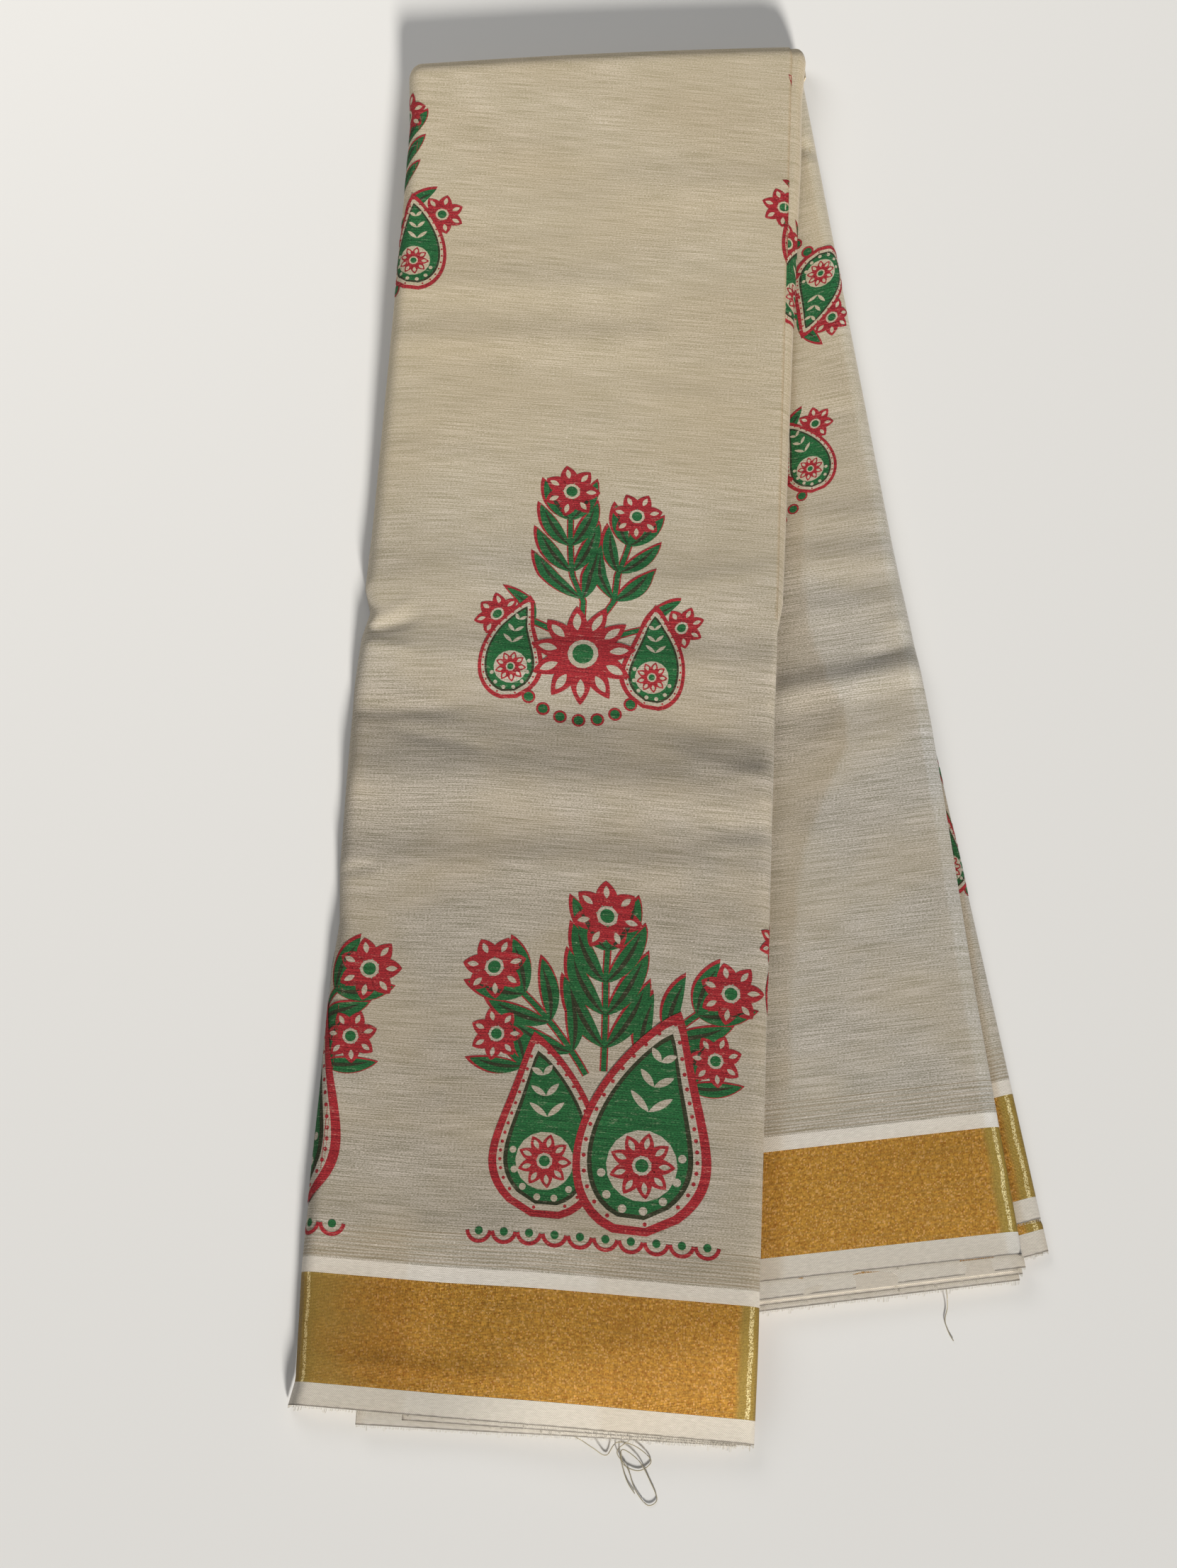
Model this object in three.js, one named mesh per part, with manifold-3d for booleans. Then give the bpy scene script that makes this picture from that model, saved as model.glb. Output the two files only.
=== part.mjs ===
// A cotton saree with a woven gold border, folded flat and doubled over.
//
// The cloth is folded in leaves about 172 mm wide, and this strip is doubled over at the top fold.
// The front half lies on the back half, which is fanned out to the right beneath it.
// Millimetres. +X is right, +Y is towards the top fold, +Z is up, and the saree lies on Z = 0.

import * as THREE from 'three';
import Module from 'manifold-3d';
import { mergeVertices } from 'three/addons/utils/BufferGeometryUtils.js';

// ---------------------------------------------------------------------------
// Driving dimensions
// ---------------------------------------------------------------------------

const CLOTH = 1.0; // wall of one leaf
const GAP = 0.3; // air between neighbouring leaves
const PITCH = CLOTH + GAP;
const HALF = 8.8; // thickness of each half of the doubled strip
const FRONT_TOP = HALF - GAP; // front leaf's face above the front half's base
const ON_BACK = HALF + GAP; // the front half's base where it lies on the back half
const SAG_START = 5; // the front half starts to sink this far past the back half's edge
const SAG_LENGTH = 50; // and reaches the surface this much further out
const UNDER_RUN = 12; // how far the front leaf runs on under the top fold
const FOLD_BOW = 1.3; // the top fold stands out this much at its middle
const FOLD_SHARE = 1 / 12; // the bow dies out, and the waves begin, over this share of the length
const TUCK = 0.5; // what is tucked under the front half starts this far from the hidden layers

// Long edges of the two halves: where each starts at the top fold's axis, its length, and its slant
// from the -Y direction in degrees, positive towards +X.
const EDGES = {
  frontLeft: { start: [-112.0, 285.1], length: 574.3, slant: -3.07 },
  frontRight: { start: [59.8, 294.5], length: 598.1, slant: -2.93 },
  backLeft: { start: [-111.0, 283.0], length: 541.0, slant: 7.72 },
  backRight: { start: [65.9, 289.8], length: 527.7, slant: 7.16 },
  tuckLine: { start: [55.0, 288.9], length: 535.6, slant: -3.74 },
  offsetRight: { start: [108.8, -24.2], length: 198.2, slant: 9.15 },
};

// How far an edge wanders from its straight line: distance down the edge, and the shift outwards.
const WANDER = {
  frontLeft: [
    { at: 0, out: 0 },
    { at: 23, out: -2.4 },
    { at: 83, out: -2.5 },
    { at: 138, out: -2.1 },
    { at: 218, out: -1.3 },
    { at: 245, out: -0.5 },
    { at: 256, out: -3.6 },
    { at: 267, out: -0.8 },
    { at: 288, out: 0.3 },
    { at: 366, out: -0.6 },
    { at: 389, out: -2.6 },
    { at: 408, out: -1.2 },
    { at: 457, out: -1.3 },
    { at: 523, out: -0.3 },
    { at: 565, out: -1.9 },
    { at: 574.3, out: 0 },
  ],
  backRight: [
    { at: 0, out: 0 },
    { at: 155, out: 0.9 },
    { at: 235, out: 1.5 },
    { at: 275, out: 2.8 },
    { at: 313, out: 3.2 },
    { at: 366, out: 2.2 },
    { at: 425, out: 0.7 },
    { at: 527.7, out: 0 },
  ],
};

// Crosswise waves of the cloth: place of the crest on the Y axis, its slope across the leaf, its rise
// (a trough where negative), its half width, and the stretch of X that it covers.
const FRONT_WAVES = [
  { y: 226, slope: -0.04, rise: 0.5, spread: 10, from: -20, to: 60 },
  { y: 176, slope: -0.02, rise: 0.6, spread: 8, from: -120, to: -10 },
  { y: 150, slope: -0.02, rise: 0.6, spread: 8, from: -120, to: 0 },
  { y: 36, slope: -0.06, rise: 1.2, spread: 14, from: -140, to: 50 },
  { y: 5, slope: -0.06, rise: 1.0, spread: 8, from: -140, to: 50 },
  { y: -20, slope: -0.08, rise: -1.2, spread: 10, from: -140, to: 50 },
  { y: -50, slope: -0.07, rise: 2.2, spread: 12, from: -140, to: 50 },
  { y: -84, slope: -0.04, rise: 0.9, spread: 8, from: -140, to: 50 },
  { y: -226, slope: -0.05, rise: 0.8, spread: 10, from: -150, to: -20 },
];
const BACK_WAVES = [
  { y: 72, slope: 0.08, rise: 0.5, spread: 6, from: 56, to: 110 },
  { y: 52, slope: 0.08, rise: 0.9, spread: 8, from: 56, to: 110 },
  { y: 31, slope: 0.1, rise: 0.8, spread: 8, from: 56, to: 120 },
  { y: -1, slope: 0.2, rise: 1.9, spread: 6.5, from: 44, to: 125 },
  { y: -26, slope: 0.1, rise: 0.4, spread: 10, from: 54, to: 100 },
];
const WAVE_FADE = 18; // a wave dies out over this length at each end

// How the leaves of the front half turn down at their long edges. Distances are down the left or right
// edge; out is the edge's shift from the front leaf's edge, width and drop are the size of the turn.
const FRONT_ROLLS = {
  first: {
    left: [
      { at: 0, out: 0, width: 6, drop: 7.5 },
      { at: 600, out: 0, width: 6, drop: 7.5 },
    ],
    right: [
      { at: 0, out: 0, width: 1.5, drop: 1 },
      { at: 265, out: 0, width: 1.5, drop: 1 },
      { at: 290, out: 0, width: 2.4, drop: 1 },
      { at: 320, out: 0, width: 6, drop: 3.6 },
      { at: 600, out: 0, width: 6, drop: 3.6 },
    ],
  },
  second: {
    left: [
      { at: 0, out: -1.3, width: 4.7, drop: 6.2 },
      { at: 470, out: -1.3, width: 4.7, drop: 6.2 },
      { at: 540, out: -28, width: 2.5, drop: 1 },
      { at: 574.3, out: -43, width: 1.5, drop: 1 },
    ],
    right: [
      { at: 0, out: 6.6, width: 4, drop: 6.4 },
      { at: 20, out: 5.3, width: 4, drop: 6.4 },
      { at: 55, out: 6.1, width: 4, drop: 6.4 },
      { at: 215, out: 3.8, width: 4, drop: 6.4 },
      { at: 265, out: 3.2, width: 4, drop: 6.4 },
      { at: 290, out: -1.5, width: 4.4, drop: 4 },
      { at: 320, out: -1.3, width: 4.7, drop: 2.3 },
      { at: 600, out: -1.3, width: 4.7, drop: 2.3 },
    ],
  },
};

// The back leaf turns down the whole side of the half near the top fold, and lower down only as far as
// the leaf that is offset beneath it.
const BACK_ROLL = [
  { at: 0, width: 6, drop: 7.3 },
  { at: 275, width: 6, drop: 7.3 },
  { at: 300, width: 6.5, drop: 3.4 },
  { at: 528, width: 6.5, drop: 3.4 },
];

// Selvedges that show below a leaf's own: how far each reaches past it at its left and right ends, how
// far its right end stands in, how far it runs up under the leaf, and how wide it is cut out on the
// right, beside the back leaf's turned-down edge.
const BACK_SELVEDGES = [
  { name: 'back_second_selvedge', layer: 1, left: 6.9, right: 5.1, inset: 0, depth: 20, cut: 8 },
  { name: 'back_third_selvedge', layer: 2, left: 8.9, right: 7.3, inset: 1.4, depth: 20, cut: 8 },
  { name: 'back_fourth_selvedge', layer: 3, left: 10.9, right: 9.4, inset: 2.7, depth: 7, cut: 0 },
];
const SELVEDGE_SPREAD = 0.1; // a selvedge widens to the right by this share of its reach
const SECOND_SELVEDGE = { left: 2.6, right: 0.4 }; // the front half's second leaf, past the front leaf
const THIRD_SELVEDGE = { left: 5.7, right: 0.8, recess: 26, inset: 6.6 }; // and its third leaf

// Leaves of the lower bundle, which show beside the back leaf: the rows are distances down the edge
// offsetRight, inset is how far the leaf's edge stands in, above and below the row called emerges.
const OFFSET_FIRST = {
  rows: [198.2, 176, 154, 132, 110, 88, 66, 44, 22, 6],
  emerges: 14,
  insetAbove: 0.4,
  insetBelow: 0,
  width: 5,
  drop: 3.4,
  tucked: 26,
};
const OFFSET_SECOND = {
  rows: [210.6, 205, 199.4, 198.6, 188, 178],
  emerges: 199,
  insetAbove: 1.4,
  insetBelow: -0.1,
  width: 3.7,
  drop: 2.2,
  tucked: 24,
};
const OFFSET_SKEW = 2.6; // the offset leaves' ends run parallel to the selvedges

// How far the underside's leaf stands in from the edges above it, and how far it runs on past the
// offset leaf's lower end.
const UNDER = { topLeft: 5, topRight: 4, left: 9.5, right: 1.2, below: 13.8, corner: -0.2 };

// The hidden layers' bundles. Front half: levels above its base, how far its long sides stand out from
// the inner face of the second leaf's turn, and how far its lower end stands in from the selvedge.
const FRONT_BUNDLES = [
  { from: 0, to: 2.1, out: 2.0, inset: 4.5 },
  { from: 2.0, to: 4.6, out: 1.4, inset: 2.5 },
  { from: 4.5, to: 5.9, out: 0.2, inset: 26 },
];
// Back half: levels above the surface, and how far its sides stand in.
const BACK_BUNDLES = [
  { from: 1.3, to: 3.4, inset: 0 },
  { from: 3.3, to: 5.4, inset: 1.4 },
];
const BUNDLE_BULGE = 0.7; // a front bundle's long sides are rounded out by this
const BACK_SIDE_INSET = 7; // hidden layers from the back leaf's edge, above the offset leaf
const OFFSET_SIDE_INSET = 28; // and beside the offset leaf
const BACK_LEFT_INSET = 3; // and from the back half's left edge
const BACK_TOP_INSET = 15; // and from the top fold's axis
const BACK_END_INSET = 24; // and from the back leaf's selvedge
const JOINING = { side: 3, end: 3, sunk: 0.1, raised: 0.5 }; // the block between the two halves
// The front half's lowest leaves sag beside the back half: how far they stand in from the front half's
// edges and start below the top fold, reach in under the back half's edge, stay clear of its selvedges,
// and reach up into the bundles.
const SAGGING = { side: 5, end: 5, start: 40, under: 3.5, clear: 0.6, raised: 0.9 };
// Where the hidden layers turn over at the top fold: radius, insets from the fold's two ends, and how
// far the turn runs on into both halves.
const TURN_CORE = { radius: 6.1, left: 7, right: 8, run: 22 };

// Rows of the front half: its left edge is cut in steps of this size down to each distance.
const ROW_BANDS = [
  { to: 230, step: 23 },
  { to: 289, step: 11.8 },
  { to: 415, step: 14 },
  { to: 550.3, step: 22 },
  { to: 574.3, step: 12 },
];
const COLUMNS = 10; // spans of the shared lattice across a leaf
const GATHER = 0.4; // least distance between columns
const TURN_STEPS = 8; // rows round the top fold
const ROLL_STEPS = 4; // columns round a turned-down edge
const BACK_ROWS = 40; // spans down the back leaf
const BACK_COLUMNS = 8; // spans across its flat part

const COTTON = { color: 0xc9c0aa, roughness: 0.9, metalness: 0 };
const SELVEDGE = { color: 0xddd5c6, roughness: 0.85, metalness: 0 };

// ---------------------------------------------------------------------------
// Small helpers
// ---------------------------------------------------------------------------

const smooth = (t) => {
  const c = THREE.MathUtils.clamp(t, 0, 1);
  return c * c * (3 - 2 * c);
};

// The value of a table's column at a distance, straight between its rows.
function tableValue(table, column, at) {
  let low = table[0];
  for (const row of table) {
    if (row.at >= at) {
      const span = row.at - low.at;
      const share = span > 0 ? (at - low.at) / span : 1;
      return THREE.MathUtils.lerp(low[column], row[column], share);
    }
    low = row;
  }
  return low[column];
}

// The point of a long edge at a share of its length, its wander included.
function edgePoint(name, share, extra = 0) {
  const edge = EDGES[name];
  const slant = THREE.MathUtils.degToRad(edge.slant);
  const down = new THREE.Vector2(Math.sin(slant), -Math.cos(slant));
  const side = name.endsWith('Left') ? -1 : 1;
  const outwards = new THREE.Vector2(Math.cos(slant), Math.sin(slant)).multiplyScalar(side);
  const wander = WANDER[name] ? tableValue(WANDER[name], 'out', share * edge.length) : 0;
  return new THREE.Vector2(...edge.start)
    .addScaledVector(down, share * edge.length)
    .addScaledVector(outwards, wander + extra);
}

// Height of the crosswise waves at a point of the plan.
function waveHeight(waves, x, y) {
  let height = 0;
  for (const wave of waves) {
    const middle = (wave.from + wave.to) / 2;
    const away = (y - wave.y - wave.slope * (x - middle)) / wave.spread;
    const rising = smooth((x - wave.from) / WAVE_FADE + 0.5);
    const falling = smooth((wave.to - x) / WAVE_FADE + 0.5);
    height += wave.rise * Math.exp(-away * away) * rising * falling;
  }
  return height;
}

// Distance of a point beyond the line through two points, positive on the line's left.
function beyond(from, to, point) {
  const along = to.clone().sub(from).normalize();
  return along.x * (point.y - from.y) - along.y * (point.x - from.x);
}

// Height of the front half's base: it lies on the back half and sinks to the surface beside it.
function frontBase(point) {
  const topLeft = edgePoint('backLeft', 0);
  const bottomLeft = edgePoint('backLeft', 1);
  const reach = BACK_SELVEDGES.at(-1);
  const bottomRight = edgePoint('backRight', 1).add(new THREE.Vector2(0, -reach.right));
  const corner = bottomLeft.clone().add(new THREE.Vector2(0, -reach.left));
  const past = Math.max(0, -beyond(topLeft, bottomLeft, point));
  const below = Math.max(0, -beyond(corner, bottomRight, point));
  const away = Math.hypot(past, below);
  return ON_BACK * (1 - smooth((away - SAG_START) / SAG_LENGTH));
}

// ---------------------------------------------------------------------------
// The front half: rows down the leaf, and the mapping from its section to space
// ---------------------------------------------------------------------------

// A row holds its plan line, and the base and wave heights on the shared lattice.
function frontRow(share) {
  const left = edgePoint('frontLeft', share);
  const right = edgePoint('frontRight', share);
  const samples = [];
  for (let i = 0; i <= COLUMNS; i++) {
    const point = left.clone().lerp(right, i / COLUMNS);
    const fade = smooth(share / FOLD_SHARE);
    samples.push({
      base: frontBase(point),
      wave: fade * waveHeight(FRONT_WAVES, point.x, point.y),
    });
  }
  return { share, left, right, samples, width: left.distanceTo(right) };
}

// The lowest row of a leaf that reaches past the front leaf's selvedge: its heights run straight on.
function reachingRow(reach) {
  const above = frontRow(frontShares().at(-2));
  const row = frontRow(1);
  const step = ROW_BANDS.at(-1).step;
  const down = new THREE.Vector2(row.right.y - row.left.y, row.left.x - row.right.x).normalize();
  row.left.addScaledVector(down, reach.left);
  row.right.addScaledVector(down, reach.right);
  row.samples.forEach((sample, i) => {
    const share = THREE.MathUtils.lerp(reach.left, reach.right, i / COLUMNS) / step;
    sample.base += share * (sample.base - above.samples[i].base);
    sample.wave += share * (sample.wave - above.samples[i].wave);
  });
  row.width = row.left.distanceTo(row.right);
  return row;
}

// A row on the top fold: the front half's section turned round the fold's axis.
function turnRow(angle, run = 0) {
  const left = edgePoint('frontLeft', 0);
  const right = edgePoint('frontRight', 0);
  return { share: 0, left, right, angle, run, width: left.distanceTo(right) };
}

// Point of the front half at a row, a distance across it and a level above its base.
function layFront(row, across, level) {
  const share = across / row.width;
  const point = row.left.clone().lerp(row.right, share);
  const inside = THREE.MathUtils.clamp(share, 0, 1);
  const bow = FOLD_BOW * Math.sin(Math.PI * inside) * smooth(1 - row.share / FOLD_SHARE);
  if (row.angle === undefined) {
    const place = inside * COLUMNS;
    const i = Math.min(COLUMNS - 1, Math.floor(place));
    const mix = (key) => THREE.MathUtils.lerp(row.samples[i][key], row.samples[i + 1][key], place - i);
    const height = mix('base') + level * (1 + mix('wave') / HALF);
    return new THREE.Vector3(point.x, point.y + bow, height);
  }
  const radius = level + GAP;
  const outwards = new THREE.Vector2(row.left.y - row.right.y, row.right.x - row.left.x).normalize();
  point.addScaledVector(outwards, radius * Math.sin(row.angle) - row.run);
  return new THREE.Vector3(point.x, point.y + bow, HALF + radius * Math.cos(row.angle));
}

function frontShares() {
  const edge = EDGES.frontLeft.length;
  const shares = [0];
  let from = 0;
  for (const band of ROW_BANDS) {
    const count = Math.round((band.to - from) / band.step);
    for (let k = 1; k <= count; k++) shares.push((from + ((band.to - from) * k) / count) / edge);
    from = band.to;
  }
  return shares;
}

// Section of a leaf of the front half at a row: outer and inner points from left to right.
function rolledSection(row, rolls, top) {
  const at = (side) => row.share * EDGES[side].length;
  const read = (table, column, side) => tableValue(table, column, at(side));
  const leftEdge = -read(rolls.left, 'out', 'frontLeft');
  const leftWidth = read(rolls.left, 'width', 'frontLeft');
  const leftDrop = read(rolls.left, 'drop', 'frontLeft');
  const rightEdge = row.width + read(rolls.right, 'out', 'frontRight');
  const rightWidth = read(rolls.right, 'width', 'frontRight');
  const rightDrop = read(rolls.right, 'drop', 'frontRight');
  const section = [];
  for (let k = 0; k < ROLL_STEPS; k++) {
    const angle = ((k / ROLL_STEPS) * Math.PI) / 2;
    section.push(rollPoint(leftEdge + leftWidth, -1, leftWidth, leftDrop, top, angle));
  }
  const first = leftEdge + leftWidth;
  const last = rightEdge - rightWidth;
  for (const across of latticePlaces(row, first, last)) {
    section.push({ outer: [across, top], inner: [across, top - CLOTH] });
  }
  for (let k = ROLL_STEPS - 1; k >= 0; k--) {
    const angle = ((k / ROLL_STEPS) * Math.PI) / 2;
    section.push(rollPoint(last, 1, rightWidth, rightDrop, top, angle));
  }
  return section;
}

// Places across a row on the shared lattice, from a first to a last place. Lattice lines that fall
// outside this stretch are gathered at its ends, a little apart.
function latticePlaces(row, first, last) {
  const places = [];
  for (let i = 0; i <= COLUMNS; i++) {
    const line = (row.width * i) / COLUMNS;
    const low = first + i * GATHER;
    const high = last - (COLUMNS - i) * GATHER;
    places.push(THREE.MathUtils.clamp(line, low, high));
  }
  return places;
}

// A pair of points on a turned-down edge, at an angle up from its lowest point.
function rollPoint(middle, side, width, drop, top, angle) {
  const low = top - drop;
  return {
    outer: [middle + side * width * Math.cos(angle), low + drop * Math.sin(angle)],
    inner: [
      middle + side * (width - CLOTH) * Math.cos(angle),
      low + (drop - CLOTH) * Math.sin(angle),
    ],
  };
}

// ---------------------------------------------------------------------------
// Closed surfaces
// ---------------------------------------------------------------------------

function geometryFrom(points, triangles) {
  const geometry = new THREE.BufferGeometry();
  geometry.setAttribute('position', new THREE.Float32BufferAttribute(points.flat(), 3));
  geometry.setIndex(triangles);
  return geometry;
}

// A wall between an outer and an inner lattice, closed all round its rim.
// rows holds, from the selvedge upwards, lists of { outer, inner } vectors from left to right.
function wallGeometry(rows) {
  const across = rows[0].length;
  const points = [];
  for (const key of ['outer', 'inner']) {
    for (const row of rows) for (const pair of row) points.push(pair[key].toArray());
  }
  const outer = (j, i) => j * across + i;
  const inner = (j, i) => rows.length * across + j * across + i;
  const triangles = [];
  const quad = (a, b, c, d) => triangles.push(a, b, c, a, c, d);
  for (let j = 0; j + 1 < rows.length; j++) {
    for (let i = 0; i + 1 < across; i++) {
      quad(outer(j, i), outer(j, i + 1), outer(j + 1, i + 1), outer(j + 1, i));
      quad(inner(j, i), inner(j + 1, i), inner(j + 1, i + 1), inner(j, i + 1));
    }
    quad(outer(j, 0), outer(j + 1, 0), inner(j + 1, 0), inner(j, 0));
    const e = across - 1;
    quad(outer(j, e), inner(j, e), inner(j + 1, e), outer(j + 1, e));
  }
  const top = rows.length - 1;
  for (let i = 0; i + 1 < across; i++) {
    quad(outer(0, i), inner(0, i), inner(0, i + 1), outer(0, i + 1));
    quad(outer(top, i), outer(top, i + 1), inner(top, i + 1), inner(top, i));
  }
  return geometryFrom(points, triangles);
}

// A solid swept through closed section loops, all with the same number of points.
function loftGeometry(loops, flatLoop) {
  const count = loops[0].length;
  const points = loops.flat().map((point) => point.toArray());
  const triangles = [];
  for (let j = 0; j + 1 < loops.length; j++) {
    for (let i = 0; i < count; i++) {
      const next = (i + 1) % count;
      const [a, b] = [j * count + i, j * count + next];
      triangles.push(a, b, b + count, a, b + count, a + count);
    }
  }
  const last = (loops.length - 1) * count;
  for (const [a, b, c] of THREE.ShapeUtils.triangulateShape(flatLoop, [])) {
    triangles.push(c, b, a, last + a, last + b, last + c);
  }
  return geometryFrom(points, triangles);
}

// A flat plate of a plan outline between two levels.
function plateGeometry(outline, from, to) {
  const geometry = new THREE.ExtrudeGeometry(new THREE.Shape(outline), {
    depth: to - from,
    bevelEnabled: false,
  });
  return geometry.translate(0, 0, from);
}

// ---------------------------------------------------------------------------
// Leaves of the front half
// ---------------------------------------------------------------------------

function frontLeafRows(reach, underRun) {
  const rows = frontShares().reverse().map(frontRow);
  if (reach) rows[0] = reachingRow(reach);
  for (let k = 1; k <= TURN_STEPS; k++) rows.push(turnRow((Math.PI * k) / TURN_STEPS));
  if (underRun > 0) rows.push(turnRow(Math.PI, underRun));
  return rows;
}

function layWall(rows, section) {
  return wallGeometry(
    rows.map((row) =>
      section(row).map(({ outer, inner }) => ({
        outer: layFront(row, ...outer),
        inner: layFront(row, ...inner),
      })),
    ),
  );
}

function frontLeaf() {
  const rows = frontLeafRows(null, UNDER_RUN);
  return layWall(rows, (row) => rolledSection(row, FRONT_ROLLS.first, FRONT_TOP));
}

function frontSecondLeaf() {
  const rows = frontLeafRows(SECOND_SELVEDGE, 0);
  return layWall(rows, (row) => rolledSection(row, FRONT_ROLLS.second, FRONT_TOP - PITCH));
}

// The strip of the third leaf that shows at the front half's lower end.
function frontThirdSelvedge() {
  const top = FRONT_TOP - 2 * PITCH;
  const rows = [reachingRow(THIRD_SELVEDGE), ...frontShares().slice(-3, -1).reverse().map(frontRow)];
  return layWall(rows, (row) => {
    const places = latticePlaces(row, THIRD_SELVEDGE.recess, row.width - THIRD_SELVEDGE.inset);
    return places.map((across) => ({ outer: [across, top], inner: [across, top - CLOTH] }));
  });
}

// ---------------------------------------------------------------------------
// Leaves of the back half
// ---------------------------------------------------------------------------

function backLeaf() {
  const rows = [];
  for (let j = BACK_ROWS; j >= 0; j--) {
    const share = j / BACK_ROWS;
    const at = share * EDGES.backRight.length;
    const left = edgePoint('tuckLine', share);
    const right = edgePoint('backRight', share);
    const width = left.distanceTo(right);
    const rollWidth = tableValue(BACK_ROLL, 'width', at);
    const rollDrop = tableValue(BACK_ROLL, 'drop', at);
    const section = [];
    for (let i = 0; i <= BACK_COLUMNS; i++) {
      const across = ((width - rollWidth) * i) / BACK_COLUMNS;
      section.push({ outer: [across, HALF], inner: [across, HALF - CLOTH] });
    }
    for (let k = ROLL_STEPS - 1; k >= 0; k--) {
      const angle = ((k / ROLL_STEPS) * Math.PI) / 2;
      section.push(rollPoint(width - rollWidth, 1, rollWidth, rollDrop, HALF, angle));
    }
    const lay = ([across, level]) => {
      const point = left.clone().lerp(right, across / width);
      const wave = waveHeight(BACK_WAVES, point.x, point.y);
      return new THREE.Vector3(point.x, point.y, level + (wave * level) / HALF);
    };
    rows.push(section.map(({ outer, inner }) => ({ outer: lay(outer), inner: lay(inner) })));
  }
  return wallGeometry(rows);
}

// A selvedge strip under the back leaf's lower end. Its right end is cut out beside the back leaf's
// turned-down edge and reaches the full width only below it.
function backSelvedge({ layer, left, right, inset, depth, cut }) {
  const lowLeft = edgePoint('tuckLine', 1);
  const lowRight = edgePoint('backRight', 1, -inset);
  const along = lowRight.clone().sub(lowLeft).normalize();
  const up = new THREE.Vector2(-along.y, along.x);
  const at = (from, sideways, upwards) =>
    from.clone().addScaledVector(along, sideways).addScaledVector(up, upwards);
  const outline = [
    at(lowLeft, 0, -left),
    at(lowRight, right * SELVEDGE_SPREAD, -right),
    at(lowRight, 0, -GAP),
  ];
  if (cut > 0) outline.push(at(lowRight, -cut, -GAP));
  outline.push(at(lowRight, -cut, depth), edgePoint('tuckLine', 1 - depth / EDGES.tuckLine.length));
  const top = HALF - layer * PITCH;
  return plateGeometry(outline, top - CLOTH, top);
}

// A leaf of the lower bundle, at a depth below the back leaf's own level.
function offsetWall({ rows, emerges, insetAbove, insetBelow, width, drop, tucked }, top) {
  const length = EDGES.offsetRight.length;
  const lattice = rows.map((at) => {
    const inset = at > emerges ? insetBelow : insetAbove;
    const right = edgePoint('offsetRight', at / length, -inset);
    const left = edgePoint('offsetRight', at / length, -tucked);
    left.y -= OFFSET_SKEW;
    const span = left.distanceTo(right);
    const section = [0, 0.5, 1].map((share) => {
      const across = (span - width) * share;
      return { outer: [across, top], inner: [across, top - CLOTH] };
    });
    for (let k = ROLL_STEPS - 1; k >= 0; k--) {
      const angle = ((k / ROLL_STEPS) * Math.PI) / 2;
      section.push(rollPoint(span - width, 1, width, drop, top, angle));
    }
    const lay = ([across, level]) => {
      const point = left.clone().lerp(right, across / span);
      return new THREE.Vector3(point.x, point.y, level);
    };
    return section.map(({ outer, inner }) => ({ outer: lay(outer), inner: lay(inner) }));
  });
  return wallGeometry(lattice);
}

const offsetLeaf = () => offsetWall(OFFSET_FIRST, HALF - 3 * PITCH);
const offsetSecondLeaf = () => offsetWall(OFFSET_SECOND, HALF - 4 * PITCH);

// The underside: the outermost leaf, lying flat on the surface.
function underLeaf() {
  const seam = UNDER_RUN + GAP;
  const turnLeft = edgePoint('frontLeft', 0);
  const turnRight = edgePoint('frontRight', 0);
  const along = turnRight.clone().sub(turnLeft).normalize();
  const down = new THREE.Vector2(along.y, -along.x);
  const end = 1 + UNDER.below / EDGES.offsetRight.length;
  const outline = [
    turnLeft.clone().addScaledVector(down, seam).addScaledVector(along, UNDER.topLeft),
    edgePoint('backLeft', 1, -UNDER.left),
    edgePoint('offsetRight', end, -UNDER.corner),
    edgePoint('offsetRight', 0, -UNDER.right),
  ];
  for (const share of [0.5, 0.3, 0.1, 0.03]) outline.push(edgePoint('backRight', share, -UNDER.right));
  outline.push(turnRight.clone().addScaledVector(down, seam).addScaledVector(along, UNDER.topRight));
  return plateGeometry(outline, 0, CLOTH);
}

// ---------------------------------------------------------------------------
// The hidden layers: one rounded solid, layered at its edges
// ---------------------------------------------------------------------------

const wasm = await Module();
wasm.setup();

// A closed surface as a manifold-3d solid, its corners shared.
function solidFrom(geometry) {
  const bare = geometry.clone();
  bare.deleteAttribute('normal');
  bare.deleteAttribute('uv');
  const merged = mergeVertices(bare);
  return new wasm.Manifold(
    new wasm.Mesh({
      numProp: 3,
      vertProperties: Float32Array.from(merged.attributes.position.array),
      triVerts: Uint32Array.from(merged.index.array),
    }),
  );
}

function geometryOf(solid) {
  const mesh = solid.getMesh();
  const geometry = new THREE.BufferGeometry();
  geometry.setAttribute('position', new THREE.BufferAttribute(Float32Array.from(mesh.vertProperties), 3));
  geometry.setIndex(new THREE.BufferAttribute(Uint32Array.from(mesh.triVerts), 1));
  return geometry;
}

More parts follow.
